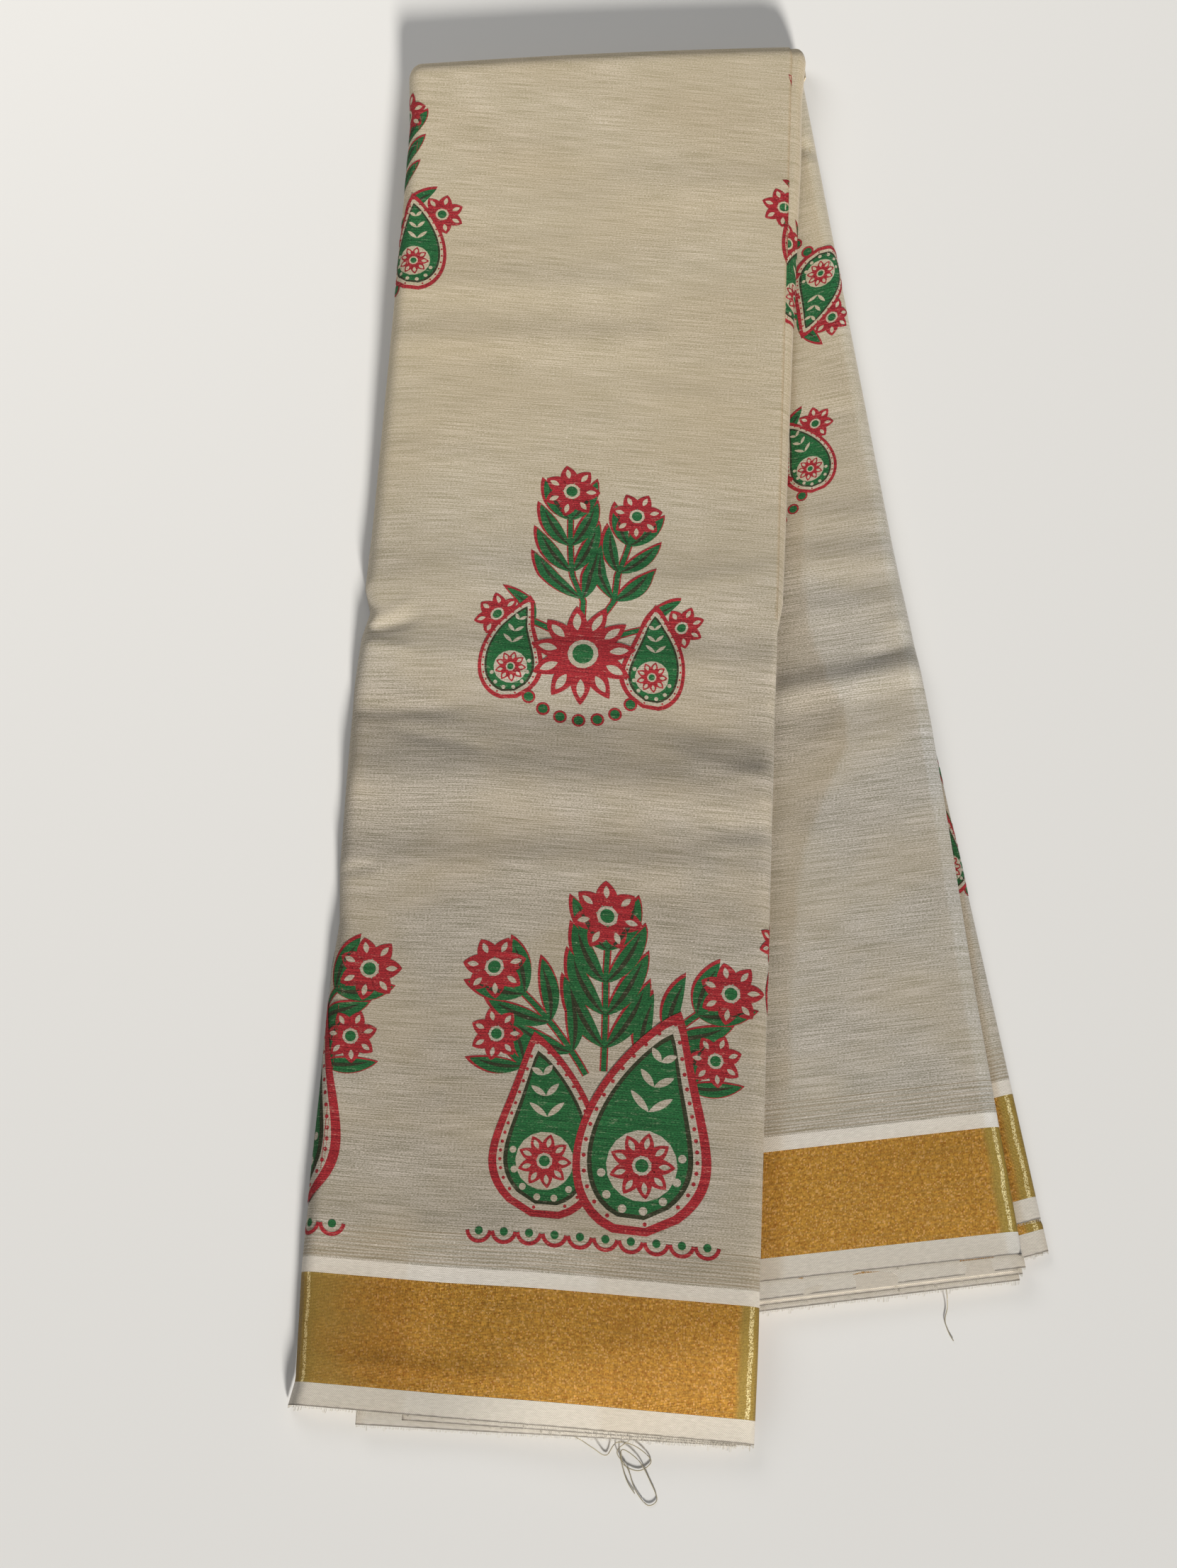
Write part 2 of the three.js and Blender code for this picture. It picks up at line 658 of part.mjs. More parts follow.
// One bundle of the front half: a slab that follows the base and the waves, with rounded long sides.
function frontBundle({ from, to, out, inset }) {
  const second = FRONT_ROLLS.second;
  const end = 1 - inset / EDGES.frontLeft.length;
  const least = 2 / EDGES.frontLeft.length; // rows stay at least 2 mm apart
  const shares = [...frontShares().filter((share) => share < end - least), end].reverse();
  let flatLoop;
  const loops = shares.map((share) => {
    const row = frontRow(share);
    const leftAt = share * EDGES.frontLeft.length;
    const rightAt = share * EDGES.frontRight.length;
    const read = (side, column, at) => tableValue(second[side], column, at);
    const left = -read('left', 'out', leftAt) + read('left', 'width', leftAt) + GAP - out;
    const right =
      row.width + read('right', 'out', rightAt) - read('right', 'width', rightAt) - GAP + out;
    const middle = (from + to) / 2;
    const places = latticePlaces(row, left, right);
    const loop = places.map((across) => [across, to]);
    loop.push([right + BUNDLE_BULGE, middle]);
    for (const across of places.reverse()) loop.push([across, from]);
    loop.push([left - BUNDLE_BULGE, middle]);
    flatLoop = loop.map(([across, level]) => new THREE.Vector2(across, -level));
    return loop.map(([across, level]) => layFront(row, across, level));
  });
  return loftGeometry(loops, flatLoop);
}

// One bundle of the back half: a flat slab inside the back leaf's outline.
function backBundle({ from, to, inset }) {
  const outline = [];
  const top = BACK_TOP_INSET / EDGES.backRight.length;
  const bottom = 1 - BACK_END_INSET / EDGES.backRight.length;
  outline.push(edgePoint('backLeft', top, -BACK_LEFT_INSET - inset));
  outline.push(edgePoint('backLeft', bottom, -BACK_LEFT_INSET - inset));
  for (const share of [bottom, 0.75, 0.57]) {
    outline.push(edgePoint('backRight', share, -OFFSET_SIDE_INSET - inset));
  }
  for (const share of [0.52, 0.4, 0.2, top]) {
    outline.push(edgePoint('backRight', share, -BACK_SIDE_INSET - inset));
  }
  return plateGeometry(outline, from, to);
}

// The block of the back half that lies straight under the front half and joins the two.
function joiningBundle() {
  const lower = BACK_BUNDLES.at(-1).to - JOINING.sunk;
  const upper = ON_BACK + JOINING.raised;
  const top = BACK_TOP_INSET / EDGES.backLeft.length;
  const bottom = 1 - JOINING.end / EDGES.backLeft.length;
  const outline = [
    edgePoint('backLeft', top, -JOINING.side),
    edgePoint('backLeft', bottom, -JOINING.side),
    edgePoint('tuckLine', bottom, -TUCK),
    edgePoint('tuckLine', top, -TUCK),
  ];
  return plateGeometry(outline, lower, upper);
}

// The lowest leaves of the front half, which sag and fill the room beside the back half.
function saggingBundle() {
  const end = 1 - SAGGING.end / EDGES.frontLeft.length;
  const start = SAGGING.start / EDGES.frontLeft.length;
  const shares = [...frontShares().filter((share) => share > start && share < end), end].reverse();
  let flatLoop;
  const loops = shares.map((share) => {
    const row = frontRow(share);
    const places = latticePlaces(row, SAGGING.side, row.width - SAGGING.side);
    const top = places.map((across) => layFront(row, across, SAGGING.raised));
    const bottom = top.map((point) => new THREE.Vector3(point.x, point.y, 0)).reverse();
    flatLoop = [...places.map((across) => new THREE.Vector2(across, -1))];
    flatLoop.push(...places.reverse().map((across) => new THREE.Vector2(across, 0)));
    return [...top, ...bottom];
  });
  const deepest = BACK_SELVEDGES.at(-1);
  const low = (edge, reach) => edge.add(new THREE.Vector2(0, -reach - SAGGING.clear));
  const backHalf = plateGeometry(
    [
      edgePoint('backLeft', 0, -SAGGING.under),
      low(edgePoint('backLeft', 1, -SAGGING.under), 0),
      low(edgePoint('tuckLine', 1), deepest.left),
      low(edgePoint('backRight', 1, BACK_END_INSET), deepest.right),
      edgePoint('backRight', 0, BACK_END_INSET),
    ],
    -1,
    FRONT_TOP + ON_BACK,
  );
  return solidFrom(loftGeometry(loops, flatLoop)).subtract(solidFrom(backHalf));
}

// The hidden layers' turn at the top fold: a half-round bar along its axis, running on into both halves.
function turnCore() {
  const left = edgePoint('frontLeft', 0);
  const right = edgePoint('frontRight', 0);
  const { radius, run } = TURN_CORE;
  const profile = new THREE.Shape();
  profile.moveTo(run, -radius);
  profile.lineTo(run, radius);
  profile.lineTo(0, radius);
  profile.absarc(0, 0, radius, Math.PI / 2, (3 * Math.PI) / 2, false);
  profile.closePath();
  const bar = new THREE.ExtrudeGeometry(profile, {
    depth: left.distanceTo(right) - TURN_CORE.left - TURN_CORE.right,
    bevelEnabled: false,
    curveSegments: 8,
  });
  // The profile's x runs down the halves, its y is up, and the bar runs along the fold.
  const along = right.clone().sub(left).normalize();
  const frame = new THREE.Matrix4().makeBasis(
    new THREE.Vector3(along.y, -along.x, 0),
    new THREE.Vector3(0, 0, 1),
    new THREE.Vector3(-along.x, -along.y, 0),
  );
  const start = right.clone().addScaledVector(along, -TURN_CORE.right);
  frame.setPosition(start.x, start.y, HALF);
  return bar.applyMatrix4(frame);
}

function hiddenLayers() {
  let solid = solidFrom(turnCore());
  const pieces = [
    ...FRONT_BUNDLES.map(frontBundle),
    ...BACK_BUNDLES.map(backBundle),
    joiningBundle(),
  ];
  for (const piece of pieces) solid = solid.add(solidFrom(piece));
  solid = solid.add(saggingBundle());
  // Small pockets between the bundles are filled: only the outer shell is kept.
  const shells = solid.decompose().sort((a, b) => b.volume() - a.volume());
  return geometryOf(shells[0]);
}

// ---------------------------------------------------------------------------
// The saree
// ---------------------------------------------------------------------------

const group = new THREE.Group();
group.name = 'saree';

function addPiece(name, geometry, finish) {
  const mesh = new THREE.Mesh(geometry, new THREE.MeshStandardMaterial(finish));
  mesh.name = name;
  group.add(mesh);
}

addPiece('front_leaf', frontLeaf(), COTTON);
addPiece('front_second_leaf', frontSecondLeaf(), COTTON);
addPiece('front_third_selvedge', frontThirdSelvedge(), SELVEDGE);
addPiece('back_leaf', backLeaf(), COTTON);
for (const row of BACK_SELVEDGES) addPiece(row.name, backSelvedge(row), SELVEDGE);
addPiece('offset_leaf', offsetLeaf(), COTTON);
addPiece('offset_second_leaf', offsetSecondLeaf(), COTTON);
addPiece('under_leaf', underLeaf(), COTTON);
addPiece('hidden_layers', hiddenLayers(), COTTON);

export default group;
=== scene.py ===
"""A folded cotton saree with a woven gold border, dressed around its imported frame.

Lengths here are millimetres in the part's frame: +X is right, +Y is towards the top fold and +Z is up.
They become metres only where a mesh is made. The long edges, waves and turned-down edges repeat the
part's own, so every leaf of cloth lies where its solid lies.
"""

import random
from math import atan, atan2, ceil, cos, degrees, exp, hypot, pi, radians, sin, sqrt

import bpy
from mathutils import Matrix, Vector, noise
from mathutils.geometry import delaunay_2d_cdt


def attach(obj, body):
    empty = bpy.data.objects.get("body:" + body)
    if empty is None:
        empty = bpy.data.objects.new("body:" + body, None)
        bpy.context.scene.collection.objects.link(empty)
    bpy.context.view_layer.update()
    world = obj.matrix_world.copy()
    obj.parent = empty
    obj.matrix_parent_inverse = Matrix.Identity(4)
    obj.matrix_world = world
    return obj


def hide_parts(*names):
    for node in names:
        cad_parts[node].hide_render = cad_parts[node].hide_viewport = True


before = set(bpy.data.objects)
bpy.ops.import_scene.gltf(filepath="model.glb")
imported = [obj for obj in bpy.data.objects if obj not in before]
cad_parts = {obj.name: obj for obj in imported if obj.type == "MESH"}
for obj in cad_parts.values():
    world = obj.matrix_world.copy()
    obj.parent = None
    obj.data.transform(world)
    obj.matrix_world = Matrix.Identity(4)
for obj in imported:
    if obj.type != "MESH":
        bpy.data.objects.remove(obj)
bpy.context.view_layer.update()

MM = 0.001

# ---- Camera, light and floor ----

CAMERA_PLACE = (-0.0315, -0.3462, 0.8697)  # metres
CAMERA_TILT = radians(19.13)  # from straight down, towards +Y
CAMERA_LENS = 52.08
# A light's kind, place in metres, what it points at, colour, and power in watts or a sun's strength.
KEY = ("SUN", (0.5, -2.2, 0.85), (0, 0, 0), (1.0, 0.975, 0.93), 5.6)
KEY_ANGLE = 9.0
FILL = ("AREA", (-0.6, 0.8, 0.9), (0.0, 0.1, 0.0), (1.0, 0.97, 0.92), 4.5)
FILL_SIZE = 0.8
SKY = (0.90, 0.94, 1.0)
SKY_STRENGTH = 0.17
FLOOR_HALF = 3.0
FLOOR_LEVEL = -0.0003  # just below the cloth


def link(name, data):
    thing = bpy.data.objects.new(name, data)
    bpy.context.scene.collection.objects.link(thing)
    return thing


def add_camera():
    data = bpy.data.cameras.new("camera")
    data.lens = CAMERA_LENS
    data.sensor_width = 36
    data.sensor_fit = "AUTO"
    data.clip_start = 0.01
    camera = link("camera", data)
    camera.location = CAMERA_PLACE
    camera.rotation_euler = (CAMERA_TILT, 0, 0)
    bpy.context.scene.camera = camera


def add_light(name, kind, place, target, colour, energy):
    data = bpy.data.lights.new(name, kind)
    data.energy = energy
    data.color = colour
    light = link(name, data)
    light.location = place
    light.rotation_euler = (Vector(target) - Vector(place)).to_track_quat("-Z", "Y").to_euler()
    return data


def add_lights():
    key = add_light("key", *KEY)
    key.angle = radians(KEY_ANGLE)
    fill = add_light("fill", *FILL)
    fill.shape = "DISK"
    fill.size = FILL_SIZE
    world = bpy.data.worlds.new("studio")
    world.use_nodes = True
    background = world.node_tree.nodes["Background"]
    background.inputs["Color"].default_value = (*SKY, 1)
    background.inputs["Strength"].default_value = SKY_STRENGTH
    bpy.context.scene.world = world
    bpy.context.scene.view_settings.view_transform = "Standard"


def add_floor():
    mesh = bpy.data.meshes.new("floor")
    signs = ((-1, -1), (1, -1), (1, 1), (-1, 1))
    mesh.from_pydata([(x * FLOOR_HALF, y * FLOOR_HALF, FLOOR_LEVEL) for x, y in signs], [], [(0, 1, 2, 3)])
    mesh.materials.append(Graph("floor_paper").finish(Base_Color=(0.80, 0.79, 0.77), Roughness=0.9))
    link("floor", mesh)


# ---- The part's own sizes ----

HALF = 8.8  # thickness of each half of the doubled strip
GAP = 0.3
FRONT_TOP = HALF - GAP  # front leaf's face above the front half's base
ON_BACK = HALF + GAP  # the front half's base where it lies on the back half
SAG_START = 5
SAG_LENGTH = 50
FOLD_BOW = 1.3
FOLD_SHARE = 1 / 12
WAVE_FADE = 18
# The cloth's unevenness: rise, length across and down, place in the noise
UNEVENNESS = [(0.22, 60, 21, 3.1), (0.09, 17, 8, 7.7)]
BACK_REACH = {"left": 10.9, "right": 9.4}  # the back half's longest selvedge, past the back leaf

# start at the top fold's axis, length, slant from the -Y direction in degrees, side it faces
EDGES = {
    "front_left": ((-112.0, 285.1), 574.3, -3.07, -1),
    "front_right": ((59.8, 294.5), 598.1, -2.93, 1),
    "back_left": ((-111.0, 283.0), 541.0, 7.72, -1),
    "back_right": ((65.9, 289.8), 527.7, 7.16, 1),
    "tuck_line": ((55.0, 288.9), 535.6, -3.74, 1),
    "offset_right": ((108.8, -24.2), 198.2, 9.15, 1),
}

# distance down the edge, shift outwards
WANDER = {
    "front_left": [
        (0, 0), (23, -2.4), (83, -2.5), (138, -2.1), (218, -1.3), (245, -0.5), (256, -3.6), (267, -0.8),
        (288, 0.3), (366, -0.6), (389, -2.6), (408, -1.2), (457, -1.3), (523, -0.3), (565, -1.9), (574.3, 0),
    ],
    "back_right": [
        (0, 0), (155, 0.9), (235, 1.5), (275, 2.8), (313, 3.2), (366, 2.2), (425, 0.7), (527.7, 0),
    ],
}

# Y of the crest, slope across the leaf, rise, half width, stretch of X from and to
FRONT_WAVES = [
    (226, -0.04, 0.5, 10, -20, 60), (176, -0.02, 0.6, 8, -120, -10), (150, -0.02, 0.6, 8, -120, 0),
    (36, -0.06, 1.2, 14, -140, 50), (5, -0.06, 1.0, 8, -140, 50), (-20, -0.08, -1.2, 10, -140, 70),
    (-50, -0.07, 2.2, 12, -140, 70), (-84, -0.04, 0.9, 8, -140, 70), (-226, -0.05, 0.8, 10, -150, -20),
]
BACK_WAVES = [
    (72, 0.08, 0.5, 6, 56, 110), (52, 0.08, 0.9, 8, 56, 110), (31, 0.1, 0.8, 8, 56, 120),
    (-1, 0.2, 1.9, 6.5, 44, 125), (-26, 0.1, 0.4, 10, 54, 100),
]

# Smaller creases that only the cloth has: middle, degrees from +X, half length, rise, half width
FRONT_CREASES = [
    ((-116, 20), 8, 13, -1.1, 2.6), ((-114, 26), 24, 11, 0.35, 2.2), ((-115, 12), -14, 12, 0.7, 2.4),
    ((-108, -16), -6, 20, -0.8, 3.2), ((-92, -30), -18, 20, -0.6, 3.0), ((-124, -83), 8, 8, -0.7, 1.8),
    ((-100, 96), -12, 22, 0.25, 6.0), ((30, 40), 10, 22, 0.3, 4.5), ((20, 120), -8, 30, 0.25, 7.0),
    ((-60, 205), 5, 26, -0.25, 7.0), ((36, -46), 12, 15, 0.35, 3.0), ((40, -130), -7, 18, -0.3, 5.0),
    ((-60, -180), 4, 34, 0.25, 8.0), ((-96, -255), 86, 16, 0.4, 3.0), ((-92, -276), -6, 34, 0.55, 3.2),
    ((-27, -262), 87, 22, 0.25, 2.2), ((26, -45), -16, 20, 0.65, 4.6), ((25, -31), -14, 22, -0.5, 5.5),
    ((30, -77), -3, 14, 0.5, 3.2), ((30, -69), -3, 16, -0.4, 3.6), ((44, -21), -35, 5, -0.5, 1.6),
]
BACK_CREASES = [
    ((71, 251), -9, 11, -0.7, 3.5), ((80, 244), -14, 12, 0.4, 4.0), ((96, 12), 18, 14, -0.7, 3.0),
    ((100, 24), 10, 9, 0.5, 3.0), ((74, -12), 62, 16, 0.35, 4.0), ((70, 120), 4, 14, -0.25, 5.0),
    ((84, -120), -5, 22, 0.25, 7.0), ((100, -190), 8, 24, -0.2, 6.0),
]

# How leaves turn down at their long edges: distance down the edge, shift outwards, width, drop.
FIRST_LEFT = [(0, 0, 6, 7.5), (600, 0, 6, 7.5)]
FIRST_RIGHT = [
    (0, 0, 1.5, 1), (265, 0, 1.5, 1), (290, 0, 2.4, 1), (320, 0, 6, 3.6), (600, 0, 6, 3.6),
]
SECOND_LEFT = [(0, -1.3, 4.7, 6.2), (470, -1.3, 4.7, 6.2), (540, -28, 2.5, 1), (574.3, -43, 1.5, 1)]
SECOND_RIGHT = [
    (0, 6.6, 4, 6.4), (20, 5.3, 4, 6.4), (55, 5.6, 4, 6.4), (110, 4.2, 4, 6.4), (265, 2.4, 4, 6.4),
    (290, -1.5, 4.4, 4), (320, -1.3, 4.7, 2.3), (600, -1.3, 4.7, 2.3),
]
BACK_RIGHT = [(0, 0, 6, 7.3), (275, 0, 6, 7.3), (300, 0, 6.5, 3.4), (528, 0, 6.5, 3.4)]

# ---- The cloth's own sizes ----

CLOTH = 0.45  # drawn thickness of one leaf
TURN_STEPS = 7  # columns on each turned-down edge
STEP = 0.8  # from one leaf's face to the next one's
TURN = pi * HALF  # length of the top fold's turn
WHITE = 8.4  # the selvedge band, the gold band and the inner stripe, up from the selvedge
GOLD = 48.4
STRIPE = 54.1
SHADED_EDGE = 6.2  # where the gold's duller edge band with its painted shade is wide, distances past this one shrink by the next value
SHADED_EDGE_SPREAD = 14


def smooth(t):
    t = min(1.0, max(0.0, t))
    return t * t * (3 - 2 * t)


def table_values(table, at):
    """The other columns of a table at a value of its first."""
    low = table[0]
    for row in table:
        if row[0] >= at:
            span = row[0] - low[0]
            share = (at - low[0]) / span if span else 1.0
            return [a + (b - a) * share for a, b in zip(low[1:], row[1:])]
        low = row
    return list(low[1:])


def edge_point(name, share, extra=0.0):
    (x, y), length, slant, side = EDGES[name]
    slant = radians(slant)
    out = extra
    if name in WANDER:
        out += table_values(WANDER[name], share * length)[0]
    x += sin(slant) * share * length + cos(slant) * side * out
    y += -cos(slant) * share * length + sin(slant) * side * out
    return Vector((x, y))


def wave_height(waves, creases, x, y):
    """Height of the waves, the creases and the unevenness at a point."""
    height = 0.0
    for crest, slope, rise, spread, start, end in waves:
        away = (y - crest - slope * (x - (start + end) / 2)) / spread
        if abs(away) < 3:
            fade = smooth((x - start) / WAVE_FADE + 0.5) * smooth((end - x) / WAVE_FADE + 0.5)
            height += rise * exp(-away * away) * fade
    for (middle_x, middle_y), turn, half, rise, spread in creases:
        turn = radians(turn)
        dx, dy = x - middle_x, y - middle_y
        along = dx * cos(turn) + dy * sin(turn)
        across = (dy * cos(turn) - dx * sin(turn)) / spread
        if abs(across) < 3 and abs(along) < 1.5 * half:
            height += rise * exp(-across * across) * smooth(1.5 - abs(along) / half)
    for rise, across, down, place in UNEVENNESS:
        height += rise * noise.noise(Vector((x / across, y / down, place)))
    return height


def away_from_back_half(point):
    """How far a point of the plan lies outside the back half's left and lower edges."""
    bottom = edge_point("back_left", 1)
    right = edge_point("back_right", 1) - Vector((0, BACK_REACH["right"]))
    past = beyond(edge_point("back_left", 0), bottom, point)
    below = beyond(bottom - Vector((0, BACK_REACH["left"])), right, point)
    return hypot(max(0.0, -past), max(0.0, -below))


def beyond(start, end, point):
    along = (end - start).normalized()
    return along.x * (point.y - start.y) - along.y * (point.x - start.x)


def front_base(point):
    return ON_BACK * (1 - smooth((away_from_back_half(point) - SAG_START) / SAG_LENGTH))


# ---- A leaf of cloth ----


class Leaf:
    """A leaf of the folded cloth: two long edges, the turns at them, its level and how it lies.

    r runs up the leaf from its selvedge, counted along its left edge. u runs across it, unrolled.
    """

    def __init__(self, edges, turns, top, lie, reach=(0.0, 0.0), inset=(0.0, 0.0), wide_shaded_edge=False):
        self.left, self.right = edges
        self.left_length, self.right_length = (EDGES[edge][1] for edge in edges)
        self.turns, self.top, self.lie = turns, top, lie
        self.reach, self.inset, self.wide_shaded_edge = reach, inset, wide_shaded_edge
        self.height = self.left_length + reach[0]  # up to the top fold's axis, along the left edge

    def row(self, r):
        return Row(self, r)

    def row_at(self, u, v):
        """The row that passes through a place on the cloth."""
        r = v
        for _ in range(5):
            row = Row(self, r)
            r = v - (row.v_right - row.v_left) * u / row.width
        return Row(self, r)

    def stops(self, low, high, spacing):
        """Places of the rows, with one on each border line and on the fold's axis."""
        marks = [low, *(m for m in (WHITE, GOLD, STRIPE, self.height) if low < m < high), high]
        places = []
        for start, end in zip(marks, marks[1:]):
            count = max(1, ceil((end - start) / spacing))
            places += [start + (end - start) * k / count for k in range(count)]
        return [*places, high]


class Row:
    """One crosswise line of a leaf, with its turns and its distance from the selvedge."""

    LEVEL_BELOW = 60.0  # below this a line runs parallel to the selvedge, above it fans out to the fold

    def __init__(self, leaf, r):
        self.leaf, self.r = leaf, r
        self.angle, self.run = None, 0.0
        flat = min(r, leaf.height)
        if r > leaf.height and leaf.lie is lie_front:
            over = (r - leaf.height) / HALF
            self.angle = min(over, pi)
            self.run = max(0.0, over - pi) * HALF
        extra = leaf.right_length + leaf.reach[1] - leaf.height
        fan = smooth((flat - self.LEVEL_BELOW) / (leaf.height - self.LEVEL_BELOW))
        self.v_left = flat
        self.v_right = flat + extra * fan
        self.over = max(0.0, r - leaf.height)
        self.share = 1 + (leaf.reach[0] - self.v_left) / leaf.left_length
        share_right = 1 + (leaf.reach[1] - self.v_right) / leaf.right_length
        self.left = edge_point(leaf.left, self.share, -leaf.inset[0])
        self.right = edge_point(leaf.right, share_right, -leaf.inset[1])
        self.width = (self.right - self.left).length
        self.left_turn = table_values(leaf.turns[0], self.share * leaf.left_length)
        self.right_turn = table_values(leaf.turns[1], share_right * leaf.right_length)
        self.first = -self.left_turn[0] + self.left_turn[1]
        self.last = self.width + self.right_turn[0] - self.right_turn[1]
        self.left_arc = quarter_length(*self.left_turn[1:])
        self.right_arc = quarter_length(*self.right_turn[1:])

    def v(self, u):
        """Distance up from the selvedge at a place across the row."""
        return self.v_left + (self.v_right - self.v_left) * u / self.width + self.over

    def edge_distance(self, u):
        """Distance in plan from the nearer fold edge, nought on the turned-down part."""
        from_left = u - self.first + self.left_turn[1]
        if self.leaf.wide_shaded_edge:
            from_left = min(from_left, SHADED_EDGE + (from_left - SHADED_EDGE) / SHADED_EDGE_SPREAD)
        from_right = self.last + self.right_turn[1] - u
        return max(0.0, min(from_left, from_right))

    def place(self, u, lift=0.0):
        """The point of the cloth at an unrolled place across, lifted off its face."""
        top = self.leaf.top
        if self.first <= u <= self.last:
            return self.leaf.lie(self, u, top + lift)
        if u < self.first:
            side, start, past, arc, turn = -1, self.first, self.first - u, self.left_arc, self.left_turn
        else:
            side, start, past, arc, turn = 1, self.last, u - self.last, self.right_arc, self.right_turn
        _, width, drop = turn
        a = max(0.0, 1 - past / arc) * pi / 2
        across = start + side * (width + lift) * cos(a)
        return self.leaf.lie(self, across, top - drop + (drop + lift) * sin(a))

    def columns(self, spacing):
        """Places across the row, the same number for each row of a leaf."""
        middle = self.leaf.row(self.leaf.height / 2)
        count = max(2, round((middle.last - middle.first) / spacing))
        places = [self.first - self.left_arc * (1 - k / TURN_STEPS) for k in range(TURN_STEPS)]
        places += [self.first + (self.last - self.first) * k / count for k in range(count + 1)]
        places += [self.last + self.right_arc * (k + 1) / TURN_STEPS for k in range(TURN_STEPS)]
        return places


def quarter_length(width, drop):
    """Length of a quarter of an ellipse."""
    return pi / 2 * sqrt((width * width + drop * drop) / 2)


def lie_front(row, across, level):
    """The front half lies on the back half, sinks beside it, and turns over the top fold."""
    share = across / row.width
    point = row.left.lerp(row.right, share)
    inside = min(1.0, max(0.0, share))
    bow = FOLD_BOW * sin(pi * inside) * smooth(1 - row.share / FOLD_SHARE)
    if row.angle is None:
        fade = smooth(row.share / FOLD_SHARE)
        wave = fade * wave_height(FRONT_WAVES, FRONT_CREASES, point.x, point.y)
        height = front_base(point) + level * (1 + wave / HALF)
        return Vector((point.x, point.y + bow, height))
    radius = level + GAP
    along = (row.right - row.left).normalized()
    point += Vector((-along.y, along.x)) * (radius * sin(row.angle) - row.run)
    return Vector((point.x, point.y + bow, HALF + radius * cos(row.angle)))


def lying(waves, creases, share):
    """How a leaf lies flat, with its waves, creases and that share of their height."""

    def lie(row, across, level):
        point = row.left.lerp(row.right, across / row.width)
        wave = share * wave_height(waves, creases, point.x, point.y)
        return Vector((point.x, point.y, level * (1 + wave / HALF)))

    return lie


lie_back = lying(BACK_WAVES, BACK_CREASES, 1.0)
lie_flat = lying((), (), 0.6)
lie_under = lying((), (), 0.0)


# ---- Materials ----


class Graph:
    """A material's nodes. Each call adds one node and returns its output socket."""

    def __init__(self, name):
        self.material = bpy.data.materials.new(name)
        self.material.use_nodes = True
        self.tree = self.material.node_tree
        self.shader = self.tree.nodes["Principled BSDF"]

    def put(self, socket, value):
        if isinstance(value, bpy.types.NodeSocket):
            self.tree.links.new(value, socket)
        elif isinstance(value, (tuple, list)) and len(value) == 3 and socket.type == "RGBA":
            socket.default_value = (*value, 1)
        else:
            socket.default_value = value

    def node(self, kind, out=0, inputs=(), **settings):
        node = self.tree.nodes.new("ShaderNode" + kind)
        for key, value in settings.items():
            setattr(node, key, value)
        for key, value in dict(inputs).items():
            self.put(node.inputs[key], value)
        return node.outputs[out]

    def math(self, operation, a, b=0.0, c=0.0, clamp=False):
        return self.node("Math", inputs={0: a, 1: b, 2: c}, operation=operation, use_clamp=clamp)

    def add(self, a, b):
        return self.math("ADD", a, b)

    def times(self, a, b):
        return self.math("MULTIPLY", a, b)

    def step(self, value, low, high, to_low=0.0, to_high=1.0):
        """A smooth step: to_low below low and to_high above high."""
        inputs = {"Value": value, "From Min": low, "From Max": high, "To Min": to_low, "To Max": to_high}
        return self.node("MapRange", inputs=inputs, interpolation_type="SMOOTHSTEP")

    def line(self, value, middle, half, soft):
        """One on a line of that half width, fading to nought beside it."""
        away = self.math("ABSOLUTE", self.math("SUBTRACT", value, middle))
        return self.step(away, half, half + soft, 1.0, 0.0)

    def mix(self, share, a, b, blend="MIX"):
        node = self.tree.nodes.new("ShaderNodeMix")
        node.data_type = "RGBA"
        node.blend_type = blend
        for key, value in ((0, share), (6, a), (7, b)):
            self.put(node.inputs[key], value)
        return node.outputs[2]

    def attribute(self, name):
        return self.node("Attribute", out=2, attribute_name=name)

    def cloth(self):
        """Places across and down the cloth, in millimetres."""
        uv = self.node("UVMap", uv_map="cloth")
        parts = self.tree.nodes.new("ShaderNodeSeparateXYZ")
        self.put(parts.inputs[0], uv)
        return self.times(parts.outputs[0], 1000.0), self.times(parts.outputs[1], 1000.0)

    def vector(self, x, y, z=0.0):
        return self.node("CombineXYZ", inputs={0: x, 1: y, 2: z})

    def noise(self, x, y, scale_x, scale_y, detail=2.0, z=0.0):
        """Noise from 0 to 1, stretched: the scales are in cycles for each millimetre."""
        place = self.vector(self.times(x, scale_x), self.times(y, scale_y), z)
        return self.node("TexNoise", inputs={"Vector": place, "Scale": 1.0, "Detail": detail})

    def speckle(self, x, y, pitch_x, pitch_y, z=0.0):
        """A random value for each cell of a grid."""
        cell_x = self.math("FLOOR", self.math("DIVIDE", x, pitch_x))
        cell_y = self.math("FLOOR", self.math("DIVIDE", y, pitch_y))
        place = self.vector(cell_x, cell_y, z)
        return self.node("TexWhiteNoise", inputs={"Vector": place}, noise_dimensions="3D")

    def wave(self, phase):
        """From 0 to 1 and back, once for each whole step of the phase."""
        swing = self.math("SINE", self.times(phase, 2 * pi))
        return self.node("MapRange", inputs={"Value": swing, "From Min": -1.0, "From Max": 1.0})

    def bump(self, height, distance, strength):
        return self.node("Bump", inputs={"Height": height, "Distance": distance, "Strength": strength})

    def finish(self, **sockets):
        for key, value in sockets.items():
            self.put(self.shader.inputs[key.replace("_", " ")], value)
        return self.material


RIB = 0.87  # millimetres from one crosswise rib to the next
BROWN_LINES = (1.2, 2.5, 3.8, 5.2, 6.7, 8.3, 10.2, 12.4)  # thin darker lines above the inner stripe


